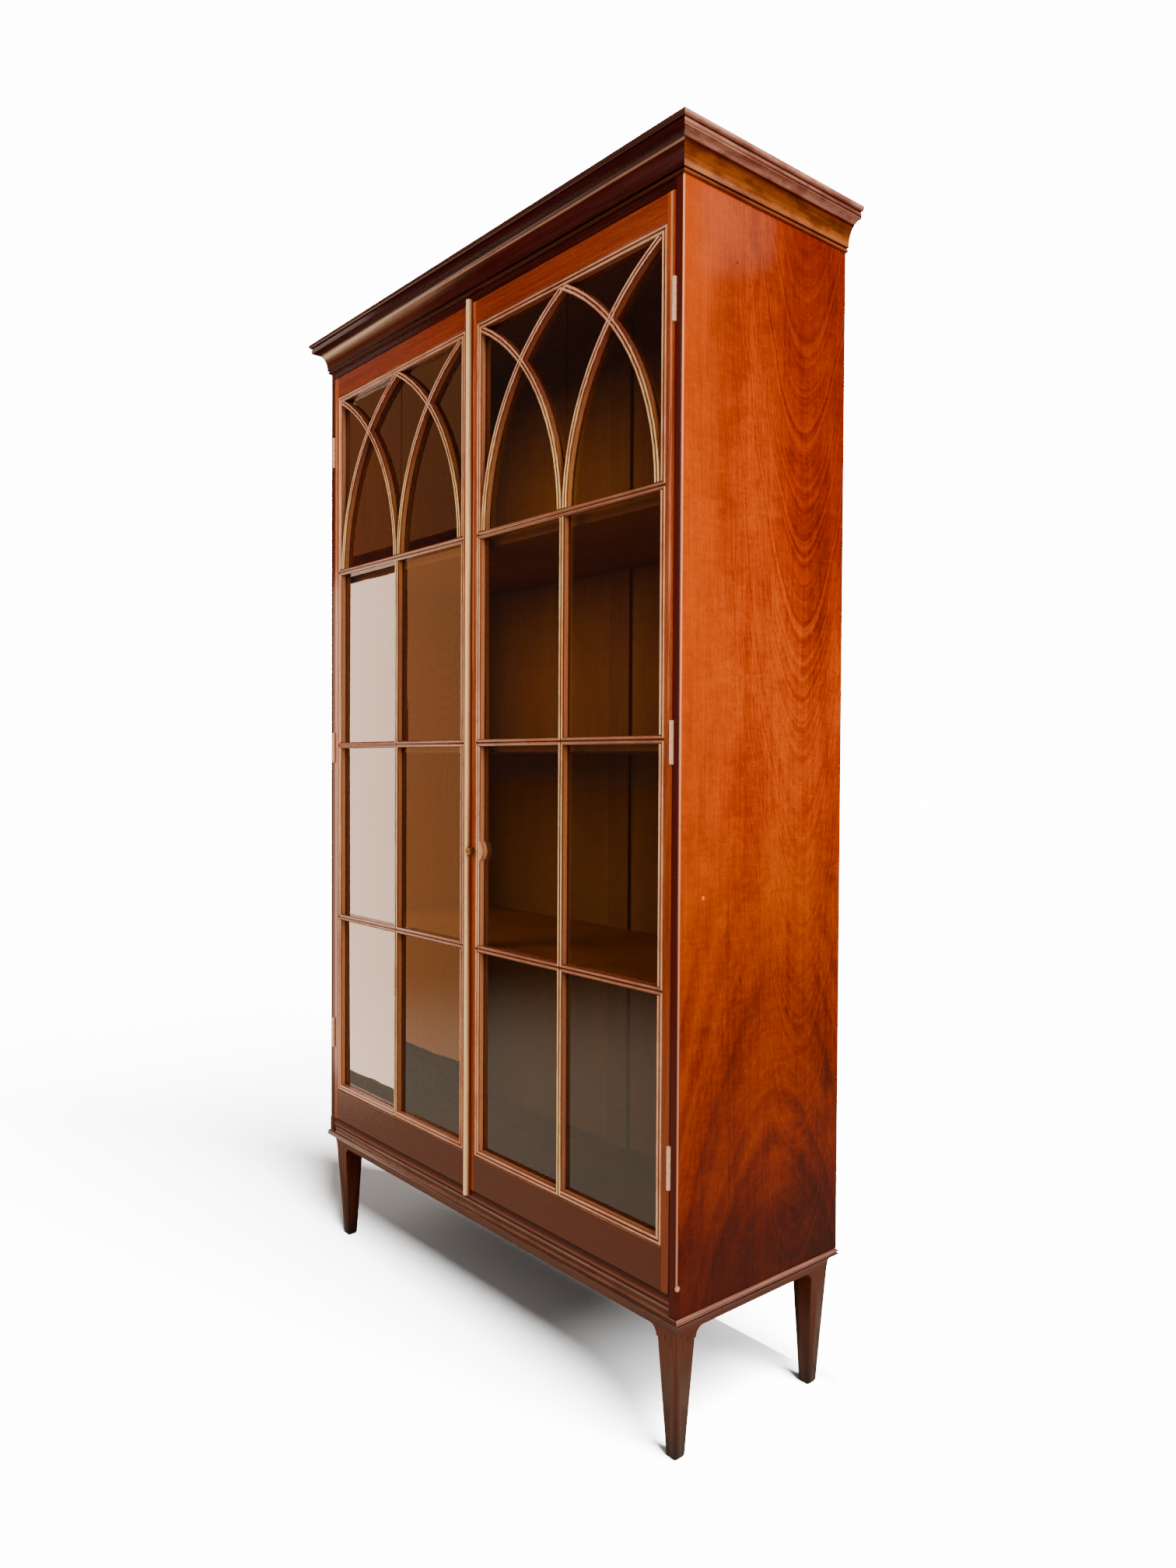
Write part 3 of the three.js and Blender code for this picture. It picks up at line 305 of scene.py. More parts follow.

# %% [markdown]
# ## The colour of the veneer
# The figure picks the colour, from smoky brown to orange. A second row of tints follows the height and is
# painted light and shade: the side is deep brown near the floor, glows in the middle and pales under the
# cornice. A painted glow lies near the front at mid height, and a painted shade at the back, high up. The
# front edge has no veneer and is dark. Its corner carries a painted highlight, a pale line where it is also
# rubbed, with a pale dot at its foot. Two small dots are the only marks of use.

# %% Figured veneer
FIGURE_TONES = [(0.26, "7c2804"), (0.42, "a63a02"), (0.53, "be4a02"), (0.7, "d66202")]
TINTED_HEIGHT = 2.0
# Painted light and shade: tints by height that darken the side near the floor and make it glow in the middle.
PAINTED_LIGHT_TINTS = [(0.11, "6c4e46"), (0.165, "805c54"), (0.21, "b0906c"), (0.27, "bca07c"), (0.335, "cfc0a0"),
                (0.405, "e0d8b8"), (0.5, "fff0e4"), (0.7, "fff0dc"), (0.95, "d0b4a8")]
# A painted glow near the front at mid height, and a painted shade at the back, high up.
MID_FRONT_PAINTED_LIGHT, MID_FRONT_PAINTED_LIGHT_HEIGHTS = (-0.15, -0.02, 0.3, 0.0), (0.6, 1.1)
HIGH_BACK_PAINTED_SHADE, HIGH_BACK_PAINTED_SHADE_HEIGHTS = (-0.04, 0.1), (1.15, 1.45)
EDGE_START, EDGE_FULL = -0.1698, -0.1706
# The place, width, foot and tones of the painted highlight down the front corner.
ARRIS, ARRIS_WIDTH, ARRIS_FOOT, ARRIS_TONES = (0.5385, -0.1705, 0.0), 0.0024, (0.268, 0.28), (0.5, 1.2)
PALE_DOT, PALE_DOT_SIZE = (0.539, -0.121, 0.842), 0.004
DARK_DOT, DARK_DOT_SIZE = (0.539, -0.057, 1.79), 0.003
PALE_FOOT_DOT, PALE_FOOT_DOT_SIZE = (0.5388, -0.1685, 0.274), 0.0052


def dot(tree, place, spot, radius):
    apart = node(tree, "ShaderNodeVectorMath", {0: place, 1: spot}, operation="DISTANCE").outputs["Value"]
    return remap(tree, apart, radius * 0.5, radius, 1.0, 0.0)


def painted_light_and_shade(tree, depth, height, colour):
    """Painted light and shade on the veneer, from the floor to the cornice and from front to back."""
    shade = ramp(tree, product(tree, height, 1 / TINTED_HEIGHT), PAINTED_LIGHT_TINTS)
    colour = blend(tree, 1.0, colour, shade, "MULTIPLY")
    painted_front_light = product(tree, remap(tree, depth, *MID_FRONT_PAINTED_LIGHT), remap(tree, height, *MID_FRONT_PAINTED_LIGHT_HEIGHTS))
    colour = blend(tree, painted_front_light, colour, "d85e02")
    painted_back_shade = product(tree, remap(tree, depth, *HIGH_BACK_PAINTED_SHADE), remap(tree, height, *HIGH_BACK_PAINTED_SHADE_HEIGHTS))
    return blend(tree, painted_back_shade, colour, "d8b8d0", "MULTIPLY")


def with_marks(tree, place, colour):
    """The dark front edge, a painted highlight down its rubbed corner, two dots, and a pale dot at the foot
    of the corner line.
    """
    side, depth, height = axes(tree, place)
    colour = blend(tree, dot(tree, place, PALE_DOT, PALE_DOT_SIZE), colour, "f08050")
    colour = blend(tree, remap(tree, depth, EDGE_START, EDGE_FULL), colour, "4c140c")
    aside = calc(tree, "ABSOLUTE", side)
    corner = value_of(tree, "ShaderNodeCombineXYZ", {0: aside, 1: depth})
    # Painted highlight: a pale line down the rounded front corner, where it is also rubbed, paler higher up.
    painted_highlight = product(tree, dot(tree, corner, ARRIS, ARRIS_WIDTH), remap(tree, height, *ARRIS_FOOT))
    arris_tone = blend(tree, remap(tree, height, *ARRIS_TONES), "c88470", "ffa880")
    colour = blend(tree, painted_highlight, colour, arris_tone)
    # A pale dot where the corner line ends, near the foot.
    colour = blend(tree, dot(tree, place, PALE_FOOT_DOT, PALE_FOOT_DOT_SIZE), colour, "e0a898")
    return blend(tree, dot(tree, place, DARK_DOT, DARK_DOT_SIZE), colour, "300a04")


def figured_veneer(name):
    material, tree, shader, place = new_finish(name)
    grain = grain_parts(tree, place, "Z")
    side, depth, height = axes(tree, place)
    colour = ramp(tree, veneer_figure(tree, place, grain), FIGURE_TONES)
    colour = with_pores(tree, grain[1], 0.4, colour, "7a2406")
    colour = with_marks(tree, place, painted_light_and_shade(tree, depth, height, colour))
    polish(tree, shader, colour, grain[0], relief=0.00006, coat=0.25, coat_rough=0.1, gleam=0.06)
    return material


veneer = figured_veneer("figured_veneer")
print("finish", veneer.name, "with", len(veneer.node_tree.nodes), "nodes")

# %% [markdown]
# ## Mouldings with painted highlights, painted shade and wear
# The reeded bars are pale on their crowns, a painted highlight where the polish has also worn thin, and
# almost black in the hollow between the two reeds, a painted shade. The crowns lie at the very front of the
# door, the hollows a little behind, and the plain flanks behind those, so the distance from the front tells
# the finish which is which. The curved bars are golden near their springing, a painted reflection, and
# redder above.

# %% Moulding finish
DOOR_FRONT = -0.171
REED_DEPTH = 0.0022
# Depths behind the front where the painted crown highlight ends and the painted hollow shade begins.
CROWN_END, HOLLOW_START, HOLLOW_FULL, FLANK_START, FLANK_FULL = (
    share * REED_DEPTH for share in (0.5, 0.4, 0.85, 1.1, 1.35))
PATCHES, PATCH_SPAN, FLANK_SPAN = (22, 4, 0.6), (0.35, 0.6, 0.5, 1.0), (0.35, 0.65)
SPRING_HEIGHT, FADE_HEIGHT = 1.5, 1.72
MOULDING_POLISH = {"relief": 0.00015, "coat": 0.6}


def highlight_shade_and_wear_colour(tree, place, grain, tones):
    """Painted highlight on the crown, painted shade in the hollow, and the flank of a reeded moulding, told
    apart by how far behind the front they lie.
    """
    dark, middle, crown, hollow, flank = tones
    streaks, pores, drift, ripple = grain
    mixed = weighed(tree, streaks, drift, 0.6)
    colour = ramp(tree, mixed, [(0.32, dark), (0.5, middle), (0.7, crown)])
    behind = calc(tree, "SUBTRACT", axes(tree, place)["Y"], DOOR_FRONT)
    patches = remap(tree, noise(tree, place, *PATCHES), *PATCH_SPAN)
    # Painted highlight on the crowns, in patches; painted shade in the hollow.
    crown_highlight_share = product(tree, remap(tree, behind, CROWN_END, 0.0), patches)
    colour = blend(tree, crown_highlight_share, colour, crown)
    colour = blend(tree, remap(tree, behind, HOLLOW_START, HOLLOW_FULL, 0.0, 0.95), colour, hollow)
    side = blend(tree, remap(tree, mixed, *FLANK_SPAN), middle, flank)
    colour = blend(tree, remap(tree, behind, FLANK_START, FLANK_FULL), colour, side)
    return with_pores(tree, pores, 0.3, colour, dark)


def highlight_shade_and_wear_moulding(name, axis, tones, high_tones=None):
    """A bar with painted highlights, painted shade and some wear; where a second set of tones is given, it
    takes over above the springing of the arches.
    """
    material, tree, shader, place = new_finish(name)
    grain = grain_parts(tree, place, axis)
    colour = highlight_shade_and_wear_colour(tree, place, grain, tones)
    if high_tones:
        above = remap(tree, axes(tree, place)["Z"], SPRING_HEIGHT, FADE_HEIGHT)
        colour = blend(tree, above, colour, highlight_shade_and_wear_colour(tree, place, grain, high_tones))
    polish(tree, shader, colour, grain[0], **MOULDING_POLISH)
    return material


bar_upright = highlight_shade_and_wear_moulding("bar_wood_upright", "Z", ("7a3418", "b87040", "ffe4a8", "300a06", "94604c"))
bar_level = highlight_shade_and_wear_moulding("bar_wood_level", "X", ("5c1c10", "84442a", "b47858", "2a0806", "7c3c2a"))
# Below the springing the arches' golden crowns are a painted reflection.
arch_wood = highlight_shade_and_wear_moulding("arch_wood", "Z", ("7a3418", "b87840", "ffe4a0", "300a06", "94604c"),
                          ("5c180c", "8c4830", "e8ac8c", "200403", "7c3c2c"))
print("finishes", bar_upright.name, bar_level.name, arch_wood.name)

# %% [markdown]
# ## The meeting bead
# The bead that covers the gap between the doors is touched every time they are opened. Its round front is
# almost cream along the middle, a painted highlight where the wood is also worn bare, while its two flanks
# are dark, a painted shade. The distance from the middle of the bead, to the right or to the left, decides
# between the two.

# %% Bead finish
BEAD_HALF = 0.008
# Where the painted shade of the dark flanks begins and where it is full.
SHADED_FLANK_START, SHADED_FLANK_FULL = BEAD_HALF * 0.5, BEAD_HALF * 0.8
BEAD_WANDER = 0.003


def bead_finish(name):
    material, tree, shader, place = new_finish(name)
    streaks, pores, drift, ripple = grain_parts(tree, place, "Z")
    # Painted highlight: the middle of the round front is cream; painted shade: the flanks are dark.
    worn_and_highlit = ramp(tree, streaks, list(zip(GRAIN_STOPS, ("ffc884", "ffdca0", "fff0c0"))))
    aside = calc(tree, "ABSOLUTE", axes(tree, place)["X"])
    aside = calc(tree, "ADD", aside, swing(tree, drift, BEAD_WANDER))
    colour = blend(tree, remap(tree, aside, SHADED_FLANK_START, SHADED_FLANK_FULL), worn_and_highlit, "6a200c")
    colour = with_pores(tree, pores, 0.25, colour, "7a3418")
    polish(tree, shader, colour, streaks, (0.25, 0.35), coat=0.4, coat_rough=0.15)
    return material


bead_wood = bead_finish("bead_wood")
print("finish", bead_wood.name)

# %% [markdown]
# ## Plainer woods
# What stays behind the doors was only stained: it is paler, duller and without a coat of polish, and its
# uprights fade to a greyer brown low down, a painted shade. The rail over the doors is near black, a
# painted shadow under the cornice, and polished but plain, like the back of the stand. All of them are the
# same recipe with other tones.

# %% Plain woods
STAINED = {"relief": 0.00001, "rough": (0.5, 0.62)}
INSIDE = {"coat": 0.0, "pored": 0.05, **STAINED}
# The rail over the doors: near black, a painted shadow under the cornice.
shadowed_red = mahogany("dark_red_wood", "X", ("240402", "3c0a05", "541a10"), coat=0.1, coat_rough=0.2)
stand_level = mahogany("stand_wood_level", "X", ("2c1008", "4c2214", "643420"))
inner_level = mahogany("inner_wood_level", "X", ("8a4c1e", "985828", "a46430"), **INSIDE)
# The uprights behind the glass turn a greyer brown low down: a painted shade.
inner_upright = mahogany("inner_wood_upright", "Z", ("985a24", "a4642a", "b07034"), "4a3e32", 0.8, **INSIDE)
back_muntin_wood = mahogany("back_muntin_wood", "Z", ("8a4e20", "965a26", "a2662c"), "46382e", 0.8, **INSIDE)
putty_wood = mahogany("puttied_rib", "Z", ("4c2c18", "6c4428", "846040"), coat=0.0, pored=0.1)
print("finishes", shadowed_red.name, stand_level.name, inner_level.name, inner_upright.name, putty_wood.name)

# %% [markdown]
# ## Mouldings in bands
# A cornice or a base is a stack of members, such as fillets, a cove and rounds. Each catches the light in
# its own way, so the bands carry painted highlights and painted reflections on the rounds and in the cove,
# and painted shade in the quirks between them. The height above the foot of the moulding therefore picks
# the colour, from a list of heights and tones that is read like the drawing of a profile. Towards the left
# end of the cornice's front, a second list paints the pale reflection in its cove.

# %% Banded finishes
CORNICE_FOOT, BASE_FOOT, SILL_FOOT = 1.884, 0.198, 0.240
FAR_END = (0.1, -0.5)
CLOUD_STRETCH, CLOUD, CLOUD_EDGE = 0.35, (60, 4, 0.6), (0.38, 0.58)
STREAK_EDGE = (0.4, 0.62)


def band_colour(tree, share, bands, reach):
    return ramp(tree, share, [(up / reach, code) for up, code in bands])


def banded(name, axis, foot, bands, left_reflection_bands=None, mottled=0.3, streaked=0.3, coat=0.3, **shine):
    """A moulding whose members differ in tone: each band is a height above the foot, in mm, and a colour."""
    material, tree, shader, place = new_finish(name)
    streaks, pores, drift, ripple = grain_parts(tree, place, axis)
    across, depth, height = axes(tree, place)
    reach = bands[-1][0]
    share = value_of(tree, "ShaderNodeMapRange", {0: height, 1: foot, 2: foot + reach / 1000})
    colour = band_colour(tree, share, bands, reach)
    # Painted reflection: a second list, paler and wider in the cove, takes over towards the left end.
    if left_reflection_bands:
        far = band_colour(tree, share, left_reflection_bands, reach)
        colour = blend(tree, remap(tree, across, *FAR_END), colour, far)
    cloud = noise(tree, stretched(tree, place, grain_scale(axis, CLOUD_STRETCH)), *CLOUD)
    colour = blend(tree, remap(tree, cloud, *CLOUD_EDGE, mottled, 0.0), colour, "8a3c18", "MULTIPLY")
    colour = blend(tree, remap(tree, streaks, *STREAK_EDGE, streaked, 0.0), colour, "4a1608", "MULTIPLY")
    polish(tree, shader, colour, streaks, coat=coat, coat_rough=0.1, **shine)
    return material


# Painted reflection: the pale bands in the upper cove, 37 to 39 mm up; painted shade in the dark quirks.
cornice_front = banded("cornice_front_wood", "X", CORNICE_FOOT, [
    (0, "4c140a"), (4.5, "54241c"), (6, "240402"), (9, "380a06"), (14, "400804"), (30, "440a05"),
    (36, "4c140c"), (37.2, "c09888"), (38.6, "a07464"), (39.6, "440c08"), (46, "400403"), (55, "300302"),
    (57, "4c201a"), (66, "5c3028")], left_reflection_bands=[
    (0, "4c140a"), (4.5, "5c3028"), (6, "240402"), (9, "380a06"), (14, "400804"), (22, "440a05"),
    (28, "7c5c4c"), (33, "c0a48c"), (38.6, "b89c88"), (41, "5c2c20"), (46, "400403"), (55, "300302"),
    (57, "4c201a"), (66, "5c3028")], mottled=0.15)
# Painted highlights: the pale bands on the rounds; painted shade: the dark quirk lines.
cornice_side = banded("cornice_side_wood", "Y", CORNICE_FOOT, [
    (0, "8a3a1c"), (4.5, "b46c48"), (6, "4a1004"), (9, "b0683c"), (15, "a85e28"), (25, "8a460e"),
    (36, "74340a"), (38, "480a04"), (39.5, "4c0e06"), (41, "b87c6c"), (45, "d09c8e"), (46.5, "5a1c10"),
    (49, "5e2012"), (51, "a8786c"), (54, "9c6a5e"), (55, "4c140a"), (57, "a86c5e"), (60, "d09c8c"),
    (65.3, "d8b0a4"), (65.8, "5c3028")], mottled=0.55)
# Painted highlights: the pale reeds; painted shade: the dark lines between them.
base_front = banded("base_front_wood", "X", BASE_FOOT, [
    (0, "5c2c1a"), (18, "5c2c1c"), (21, "4c2212"), (23.5, "744a3a"), (25, "34120c"), (27, "744a3c"),
    (29, "2c0c08"), (30.3, "8c6050"), (32, "64382c"), (36, "4c281c"), (38.5, "946450"), (41, "a87c64"),
    (42, "3c120a")])
# Painted highlights: the pale reeds; painted shade: the dark lines between them.
base_side = banded("base_side_wood", "Y", BASE_FOOT, [
    (0, "682a1c"), (17, "6c2e20"), (19, "4c140c"), (23.6, "3c0e0a"), (24.6, "ac7c70"), (26.6, "986a60"),
    (27.4, "7c5048"), (28.2, "c4948a"), (30, "c08c80")], mottled=0.15)
# Painted shadow: the dark top band, in the gap under the doors.
sill_front = banded("sill_front_wood", "X", SILL_FOOT, [
    (0, "2a0a05"), (4, "4a1c10"), (6.5, "845040"), (8.5, "5c2c1c"), (14, "401408"), (17, "2c0c06"),
    (18, "5c3a24")], mottled=0.05, streaked=0.04, coat=0.0, **STAINED)
leg_wood = banded("leg_wood", "Z", 0.0, [
    (0, "1c0806"), (9, "2c0e0a"), (40, "4c1e12"), (110, "5a2816"), (198, "64301c")], mottled=0.15, coat=0.2)
print("banded finishes", cornice_front.name, cornice_side.name, base_front.name, base_side.name,
      sill_front.name, leg_wood.name)

# %% [markdown]
# ## The frames of the doors
# Stiles and rails are plain, straight-grained wood, redder at the top and browner below, a painted shade,
# with a reeded moulding worked on the edge next to the glass. The finish has to know where that edge is. It
# measures how far a point lies outside the opening of the door, and paints the moulding's tones, with their
# painted highlights and shade, within one width of it, in front of the glass. A narrow strip of each stile
# carries a pale painted reflection as well, above the middle of the door.

# %% Frame finishes
GLASS_FRONT, GLASS_BACK = -0.1595, -0.1575
# Where the painted pale reflection lies on each stile.
REFLECTION_STRIP = 0.0225
REFLECTION_EDGES, REFLECTION_STREAKS, REFLECTION_HEIGHTS = (0.001, 0.0035), (0.3, 0.55), (0.9, 1.3)
SOFT_EDGE = 0.0006


def glazed_light():
    """Middle and half size, across and up, of the opening of a door, and the width of its moulding."""
    bar_low, bar_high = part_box("centre_bar_right")
    arch_low, arch_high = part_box("tracery_right")
    width = bar_high[0] - bar_low[0]
    foot = bar_low[2] + width
    middle = ((arch_low[0] + arch_high[0]) / 2, (foot + arch_high[2]) / 2)
    return middle, ((arch_high[0] - arch_low[0]) / 2, (arch_high[2] - foot) / 2), width


LIGHT_MIDDLE, LIGHT_HALF, MOULD_WIDTH = glazed_light()


def moulded_frame(name, axis, plain, mould, low, low_share, painted_highlight=0.0):
    """Frame wood, browner low down as a painted shade and paler in a strip as a painted reflection; next to
    the glass, the wood of a moulding with painted highlights and shade.
    """
    material, tree, shader, place = new_finish(name)
    grain = grain_parts(tree, place, axis)
    streaks, pores, drift, ripple = grain
    across, depth, height = axes(tree, place)
    colour = ramp(tree, weighed(tree, streaks, drift, 0.5), list(zip(GRAIN_STOPS, plain)))
    colour = with_pores(tree, pores, 0.45, colour, plain[0])
    # Painted shade: browner low down.
    colour = painted_shade_low_down(tree, height, low_share, colour, low)
    outside = []
    for value, middle, half in zip((calc(tree, "ABSOLUTE", across), height), LIGHT_MIDDLE, LIGHT_HALF):
        from_middle = calc(tree, "ABSOLUTE", calc(tree, "SUBTRACT", value, middle))
        outside.append(calc(tree, "SUBTRACT", from_middle, half))
    strip = calc(tree, "ABSOLUTE", calc(tree, "SUBTRACT", outside[0], REFLECTION_STRIP))
    strip = product(tree, remap(tree, strip, *REFLECTION_EDGES, painted_highlight, 0.0),
                    remap(tree, streaks, *REFLECTION_STREAKS), remap(tree, height, *REFLECTION_HEIGHTS))
    # Painted reflection: a pale strip down each stile, above the middle of the door.
    colour = blend(tree, strip, colour, "f0a878")
    near = remap(tree, calc(tree, "MAXIMUM", *outside), MOULD_WIDTH, MOULD_WIDTH + SOFT_EDGE, 1.0, 0.0)
    moulded = product(tree, near, remap(tree, depth, GLASS_FRONT, GLASS_BACK, 1.0, 0.0))
    colour = blend(tree, moulded, colour, highlight_shade_and_wear_colour(tree, place, grain, mould))
    polish(tree, shader, colour, streaks, (0.22, 0.32), relief=0.00005)
    return material


door_upright = moulded_frame("door_wood_upright", "Z", ("6c2008", "a03c0e", "c05a18"),
                             ("7a3018", "c07850", "fcc8a0", "5c1c0c", "c88c64"), "5c2c14", 0.6, painted_highlight=0.6)
door_level = moulded_frame("door_wood_level", "X", ("701e06", "8c3208", "a44810"),
                           ("5c1c10", "a05c40", "e8b090", "3a0c06", "a06848"), "4a200c", 0.9)
print("opening", [round(v, 4) for v in (*LIGHT_MIDDLE, *LIGHT_HALF)], "moulding", round(MOULD_WIDTH, 4))

# %% [markdown]
# ## Brass and glass
# Brass is a metal whose shine is broken by fingerprints, so a fine cloud changes both its colour and its
# roughness. The hinges are painted pale and dull and made barely metallic, so that their colour stands in
# for the highlight on them. The glass is thin, so it hardly bends what is behind it: it is clear with a
# touch of grey and a slow waviness, and mirrors a little on its outer face.

# %% Brass and glass
FINGERPRINTS, BRASS_ROUGH = (160, 5, 0.6), (0.42, 0.24)
GLASS_WAVES, WAVE_STRETCH, WAVE_STRENGTH, WAVE_HEIGHT = (9, 1, 0.4), (1, 1, 0.4), 0.1, 0.004
MIRROR_ROUGHNESS, MIRROR_GAIN, GLASS_BENDING = 0.02, 1.8, 1.5


def aged_brass(name, bright, dull, metal=1.0):
    material, tree, shader, place = new_finish(name)
    cloud = noise(tree, place, *FINGERPRINTS)
    colour = ramp(tree, cloud, [(0.35, dull), (0.62, bright)])
    tree.links.new(colour, shader.inputs["Base Color"])
    tree.links.new(remap(tree, cloud, *SHINE_SPAN, *BRASS_ROUGH), shader.inputs["Roughness"])
    shader.inputs["Metallic"].default_value = metal
    return material


def window_glass(name):
    """Thin glass: each pane reflects a little on its outer face and lets the rest straight through."""
    material, tree, shader, place = new_finish(name)
    wave = noise(tree, stretched(tree, place, WAVE_STRETCH), *GLASS_WAVES)
    waviness = {"Strength": WAVE_STRENGTH, "Distance": WAVE_HEIGHT, "Height": wave}
    bump = value_of(tree, "ShaderNodeBump", waviness)
    shine = {"Color": (1, 1, 1, 1), "Roughness": MIRROR_ROUGHNESS, "Normal": bump}
    mirror = value_of(tree, "ShaderNodeBsdfGlossy", shine)
    clear = value_of(tree, "ShaderNodeBsdfTransparent", {"Color": tone("eeeadd")})
    outer = calc(tree, "SUBTRACT", 1.0, node(tree, "ShaderNodeNewGeometry").outputs["Backfacing"])
    slant = value_of(tree, "ShaderNodeFresnel", {"IOR": GLASS_BENDING, "Normal": bump})
    mirrored = product(tree, slant, MIRROR_GAIN, outer)
    mixed = value_of(tree, "ShaderNodeMixShader", {0: mirrored, 1: clear, 2: mirror})
    tree.links.new(mixed, tree.nodes["Material Output"].inputs["Surface"])
    tree.nodes.remove(shader)
    return material


# The hinges: a painted highlight, pale cream and barely metallic.
pale_brass = aged_brass("pale_brass", "ffd4b8", "e8ac8c", metal=0.25)
old_brass = aged_brass("old_brass", "b88a58", "5c3c20")
clear_glass = window_glass("window_glass")
print("finishes", pale_brass.name, old_brass.name, clear_glass.name)

# %% [markdown]
# ## Copies with eased edges
# A cabinet maker takes the sharpness off every edge with a stroke of fine paper, and it is these narrow
# rounded edges that catch the light. A copy of each solid is welded into one skin, its faces are shaded
# smooth wherever they meet at a shallow angle, and a bevel rounds only the long straight edges of boards
# and frames.

# %% Refined copies
SAME_POINT, FLAT_ANGLE = 2e-6, math.radians(0.4)
SMOOTH_ANGLE, CORNER_ANGLE, LONG_EDGE = math.radians(40), math.radians(60), 0.02
EASING = 0.0006
MITRE_REACH, MITRE_ROOM = 0.0003, 0.01
MITRED = ("cornice_right", "cornice_left", "base_rail_right", "base_rail_left")
NODE_BODY = {n: body for body, nodes in frame["record"]["behaviour"]["bodies"].items() for n in nodes}
made_pieces = []


def finish_piece(piece, body, replaced=()):
    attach(piece, body)
    if replaced:
        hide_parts(*replaced)
    made_pieces.append(piece.name)


def close_mitre(bm):
    """Draws the end of a side moulding up to the front moulding, so that no light shows in the mitre."""
    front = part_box("side_right")[0][1] + MITRE_ROOM
    for vertex in bm.verts:
        if vertex.co.y < front:
            vertex.co.y -= MITRE_REACH


def welded_mesh(source):
    """A welded copy of a solid's mesh, smooth over shallow angles, with its long sharp edges marked."""
    bm = bmesh.new()
    bm.from_mesh(source.data)
    bmesh.ops.remove_doubles(bm, verts=bm.verts, dist=SAME_POINT)
    bmesh.ops.dissolve_limit(bm, angle_limit=FLAT_ANGLE, verts=bm.verts, edges=bm.edges)
    if source.name in MITRED:
        close_mitre(bm)
    weight = bm.edges.layers.float.new("bevel_weight_edge")
    for edge in bm.edges:
        angle = edge.calc_face_angle(math.pi)
        edge.smooth = angle < SMOOTH_ANGLE
        if angle > CORNER_ANGLE and edge.calc_length() > LONG_EDGE and edge.is_convex:
            edge[weight] = 1.0
    for face in bm.faces:
        face.smooth = True
    mesh = bpy.data.meshes.new(source.name + "_skin")
    bm.to_mesh(mesh)
    bm.free()
    return mesh


def linked_object(name, mesh):
    made = bpy.data.objects.new(name, mesh)
    bpy.context.scene.collection.objects.link(made)
    return made


def refined(nodes, material, easing=0.0):
    """Refined copies of some solids, each on the body of its own solid."""
    for source_name in nodes:
        piece = linked_object("made_" + source_name, welded_mesh(frame["nodes"][source_name]))
        piece.data.materials.append(material)
        if easing:
            bevel = piece.modifiers.new("eased_edges", "BEVEL")
            bevel.width, bevel.segments = easing, 2
            bevel.limit_method = "WEIGHT"
            bevel.use_clamp_overlap = False
        finish_piece(piece, NODE_BODY[source_name], [source_name])


def on_sides(*parts):
    """The names of parts that are there twice, right and left."""
    return [f"{part}_{side}" for part in parts for side in ("right", "left")]


hinge_leaves = [n for n in frame["nodes"] if n.startswith("hinge_") and "leaf" in n]
refined(on_sides("side"), veneer, EASING)
refined(on_sides("hinge_stile", "meeting_stile"), door_upright, EASING)
refined(on_sides("top_rail", "bottom_rail"), door_level, EASING)
refined(on_sides("cross_bar_1", "cross_bar_2", "cross_bar_3"), bar_level)
refined(on_sides("centre_bar"), bar_upright)
refined(["meeting_bead"], bead_wood)
refined(["cornice_front"], cornice_front)
refined(on_sides("cornice"), cornice_side)
refined(["base_rail_front"], base_front)
refined(on_sides("base_rail"), base_side)
refined(on_sides("leg_front", "leg_back"), leg_wood)
refined(hinge_leaves, pale_brass)
refined(["turn_knob"], old_brass)
print(len(made_pieces), "refined pieces")

# %% [markdown]
# ## Interlaced arches
# The top row of each door is the piece that takes the most skill. Four curved bars spring upright from the
# last cross bar and cross each other before they reach the top rail, so that two pointed arches appear in
# each door. Every bar is the same arc of a circle. A node tree bends one arc, sweeps the section with its
# two reeds along it, sets it down at each springing point, turned left or right, joins all four, and trims
# them to the opening.

# %% A node tree for the arches
EXTRA_SWEEP = math.radians(4)
SECTION_POINTS, ARC_STEPS = 56, 16
FRONT_SHARE = -0.499
SOFT_ANGLE = math.radians(30)


def new_tree(name, inputs):
    """A geometry tree with named inputs; gives the tree, its input node and the identifiers of its inputs."""
    group = bpy.data.node_groups.new(name, "GeometryNodeTree")
    keys = {}
    for title, kind in inputs.items():
        socket = group.interface.new_socket(name=title, in_out="INPUT", socket_type="NodeSocket" + kind)
        keys[title] = socket.identifier
    group.interface.new_socket(name="Geometry", in_out="OUTPUT", socket_type="NodeSocketGeometry")
    return group, group.nodes.new("NodeGroupInput"), keys


def close_tree(group, shape, material):
    """Every tree ends alike: real faces in place of instances, then a finish."""
    real = value_of(group, "GeometryNodeRealizeInstances", {0: shape})
    dressed = value_of(group, "GeometryNodeSetMaterial", {0: real, 2: material})
    node(group, "NodeGroupOutput", {0: dressed})


